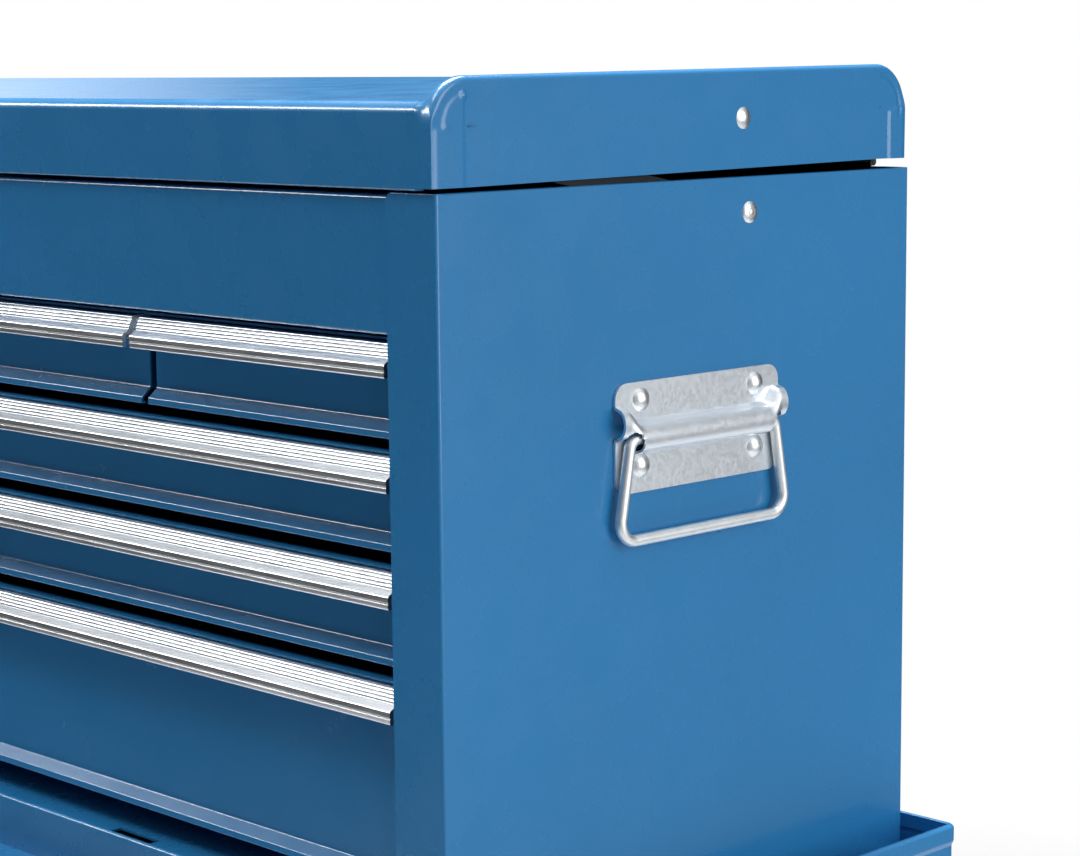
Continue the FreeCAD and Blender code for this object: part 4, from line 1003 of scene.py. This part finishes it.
def wheels():
    """Each wheel's grooved rubber tyre, and its spoked hub round the axle."""
    for name in ("front_wheel", "rear_wheel"):
        low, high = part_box(f"{name}_right")
        centre = (low + high) / 2
        rim = (high.z - low.z) / 2 / MM
        half = 12.5
        tread = in_mm((-half + 1, 28), (-half, 29.5), (-half, rim - 5), (-half + 1.6, rim - 1.8))
        tread += in_mm((-half + 5, rim - 0.1), (-half + 6, rim), (-3, rim))
        outline = tread + in_mm((-2.2, rim - 0.8), (2.2, rim - 0.8)) + mirrored(tread)
        tyre = Solid()
        tyre.lathe(outline + [outline[0]], centre, (1, 0, 0), 72)
        finish_piece(f"{name}_tyre", tyre, name, "rubber", [name], edge=0.3 * MM, sides=(1, -1))
        side = in_mm((-11.4, 28.1), (-12.3, 27.4), (-12.3, 25.2), (-6.5, 24.2), (-5.5, 13.2))
        side += in_mm((-13.2, 11.2), (-14, 10), (-14, 4.06))
        hub = Solid()
        hub.lathe(side + mirrored(side) + [side[0]], centre, (1, 0, 0), 72)
        rib = Solid()
        rib.block(*in_mm((-11.2, -1.3, 10), (11.2, 1.3, 26.5)))
        for spoke in range(6):
            turn = Matrix.Rotation(math.tau * spoke / 6, 4, "X")
            hub.add([centre + turn @ p for p in rib.points], rib.faces)
        finish_piece(f"{name}_hub", hub, name, "hub", [name], edge=0.3 * MM, sides=(1, -1))


# ---- CAD nodes that are shown
def dress_nodes():
    """The CAD pieces whose shape is right get rounded edges and their material."""
    looks = {
        "paint": ["chest_back_panel", "chest_till_floor", "chest_drawer_dividers"],
        "steel": ["chest_drawer_slides", "cabinet_drawer_slides", "fixed_caster_brackets"],
        "dark": ["lid_hinge_fixed_leaf", "lid_hinge_moving_leaf"],
        "rivet": ["chest_rivets", "lid_stay_rivets"],
        "chrome": ["chest_lock_plug"],
        "link": [],
    }
    looks["paint"] += ["cabinet_back_panel", "cabinet_base_panel"]
    looks["steel"] += ["swivel_caster_plates"]
    for side in ("left", "right"):
        looks["link"] += [f"lid_stay_{part}_link_{side}" for part in ("lower", "upper")]
        looks["steel"] += [f"swivel_fork_{side}"]
        looks["dark"] += [f"brake_pedal_{side}"]
    for look, names in looks.items():
        for name in names:
            node = frame["nodes"][name]
            node.data.materials.clear()
            node.data.materials.append(MATERIALS[look])
            weld = node.modifiers.new("Weld", "WELD")
            weld.merge_threshold = 0.002 * MM
            soften(node, 0.2 * MM)


# ---- stage
def stage():
    """A pale round floor that fades out towards its rim."""
    floor = Solid()
    floor.lathe([(-0.002, 0.001), (-0.002, 2.4), (0, 2.4), (0, 0.001)], (0, 0, 0), (0, 0, 1), 96)
    piece = mesh_object("studio_floor", floor.points, floor.faces)
    made, tree, shader = new_material("studio_floor")
    place = object_coordinates(tree)
    tone = mix_colours(tree, noise(tree, place, 3.0), (0.60, 0.60, 0.61), (0.64, 0.64, 0.65))
    tree.links.new(tone, shader.inputs["Base Color"])
    shader.inputs["Roughness"].default_value = 0.7
    clear = tree.nodes.new("ShaderNodeBsdfTransparent")
    blend = tree.nodes.new("ShaderNodeMixShader")
    reach = tree.nodes.new("ShaderNodeVectorMath")
    reach.operation = "LENGTH"
    tree.links.new(place, reach.inputs[0])
    tree.links.new(remap(tree, reach.outputs["Value"], 0, 1, 1.0, 2.3), blend.inputs[0])
    tree.links.new(shader.outputs[0], blend.inputs[1])
    tree.links.new(clear.outputs[0], blend.inputs[2])
    tree.links.new(blend.outputs[0], tree.nodes["Material Output"].inputs["Surface"])
    piece.data.materials.append(made)


def area_light(name, place, target, size, power):
    """A rectangular lamp at place, turned to target, that the camera doesn't see."""
    data = bpy.data.lights.new(name, "AREA")
    data.shape = "RECTANGLE"
    data.size, data.size_y = size
    data.energy = power
    lamp = bpy.data.objects.new(name, data)
    lamp.location = place
    lamp.rotation_mode = "QUATERNION"
    lamp.rotation_quaternion = (Vector(target) - Vector(place)).to_track_quat("-Z", "Y")
    lamp.visible_camera = False
    bpy.context.scene.collection.objects.link(lamp)
    return lamp


def studio_world():
    """A soft room, bright overhead, low down at the rear left and at the right.

    The camera itself sees a plain white backdrop.
    """
    world = bpy.data.worlds.new("studio")
    bpy.context.scene.world = world
    world.use_nodes = True
    tree = world.node_tree
    tree.nodes.clear()
    place = tree.nodes.new("ShaderNodeTexCoord")
    parts = tree.nodes.new("ShaderNodeSeparateXYZ")
    tree.links.new(place.outputs["Generated"], parts.inputs[0])
    up = remap(tree, parts.outputs["Z"], 0.0, 1.0, 0.4, 0.95)
    behind = tree.nodes.new("ShaderNodeVectorMath")
    behind.operation = "DOT_PRODUCT"
    behind.inputs[1].default_value = Vector((-0.94, 0.34, 0.0))
    tree.links.new(place.outputs["Generated"], behind.inputs[0])
    back = remap(tree, behind.outputs["Value"], 0.0, 1.0, 0.94, 0.985)
    low = remap(tree, parts.outputs["Z"], 1.0, 0.1, 0.16, 0.4)
    horizon = tree.nodes.new("ShaderNodeMath")
    horizon.operation = "MULTIPLY"
    tree.links.new(back, horizon.inputs[0])
    tree.links.new(low, horizon.inputs[1])
    right = remap(tree, parts.outputs["X"], 0.0, 1.0, 0.3, 0.9)
    total = None
    for value, gain in ((up, 1.0), (horizon.outputs[0], 1.3), (right, 0.42)):
        scaled = tree.nodes.new("ShaderNodeMath")
        scaled.operation = "MULTIPLY_ADD"
        scaled.inputs[1].default_value = gain
        tree.links.new(value, scaled.inputs[0])
        if total is None:
            scaled.inputs[2].default_value = 0.05
        else:
            tree.links.new(total, scaled.inputs[2])
        total = scaled.outputs[0]
    room = tree.nodes.new("ShaderNodeBackground")
    tree.links.new(total, room.inputs["Strength"])
    room.inputs["Color"].default_value = (0.96, 0.98, 1.0, 1)
    plain = tree.nodes.new("ShaderNodeBackground")
    plain.inputs["Color"].default_value = (1, 1, 1, 1)
    plain.inputs["Strength"].default_value = 1.0
    rays = tree.nodes.new("ShaderNodeLightPath")
    chosen = tree.nodes.new("ShaderNodeMixShader")
    tree.links.new(rays.outputs["Is Camera Ray"], chosen.inputs[0])
    tree.links.new(room.outputs[0], chosen.inputs[1])
    tree.links.new(plain.outputs[0], chosen.inputs[2])
    output = tree.nodes.new("ShaderNodeOutputWorld")
    tree.links.new(chosen.outputs[0], output.inputs["Surface"])


def lights():
    """Large soft lamps overhead, at the right and in front."""
    area_light("overhead", (-0.4, 0.4, 3.0), (-0.1, 0.0, 0.9), (1.7, 1.4), 118)
    area_light("right", (3.0, 0.6, 1.5), (0.2, 0.0, 0.8), (1.8, 2.2), 41)
    area_light("front_high", (-0.5, -1.2, 3.2), (0.0, -0.15, 0.8), (1.8, 0.8), 30)
    strip = area_light("front_strip", (-1.34, -1.29, 1.96), (0.15, -0.15, 0.85), (1.5, 0.24), 24)
    strip.visible_diffuse = False  # it only brings out the metal and the gloss


def camera():
    """Three quarters from the right, a little above the chest, with a long lens."""
    data = bpy.data.cameras.new("camera")
    data.sensor_width = 36.0
    data.lens = 86.03
    data.clip_start, data.clip_end = 0.05, 60.0
    made = bpy.data.objects.new("camera", data)
    bpy.context.scene.collection.objects.link(made)
    yaw, pitch, roll = (math.radians(value) for value in (45.31, 8.107, -0.53))
    level = Vector((math.cos(yaw), math.sin(yaw), 0))
    forwards = Vector((-math.sin(yaw), math.cos(yaw), 0))
    ahead = forwards * math.cos(pitch) - Vector((0, 0, math.sin(pitch)))
    above = level.cross(ahead)
    right = level * math.cos(roll) + above * math.sin(roll)
    up = above * math.cos(roll) - level * math.sin(roll)
    turn = Matrix((right, up, -ahead)).transposed().to_4x4()
    place = Vector((HALF + 0.7522, FRONT - 0.6873, TOP + 0.0518))
    made.matrix_world = Matrix.Translation(place) @ turn
    bpy.context.scene.camera = made


chest_casing()
lid_sheet()
lid_ends()
drawers()
handle_plate()
bails()
rivets()
lock()
cabinet()
wheels()
dress_nodes()
stage()
studio_world()
lights()
camera()
bpy.context.scene.view_settings.view_transform = "Standard"
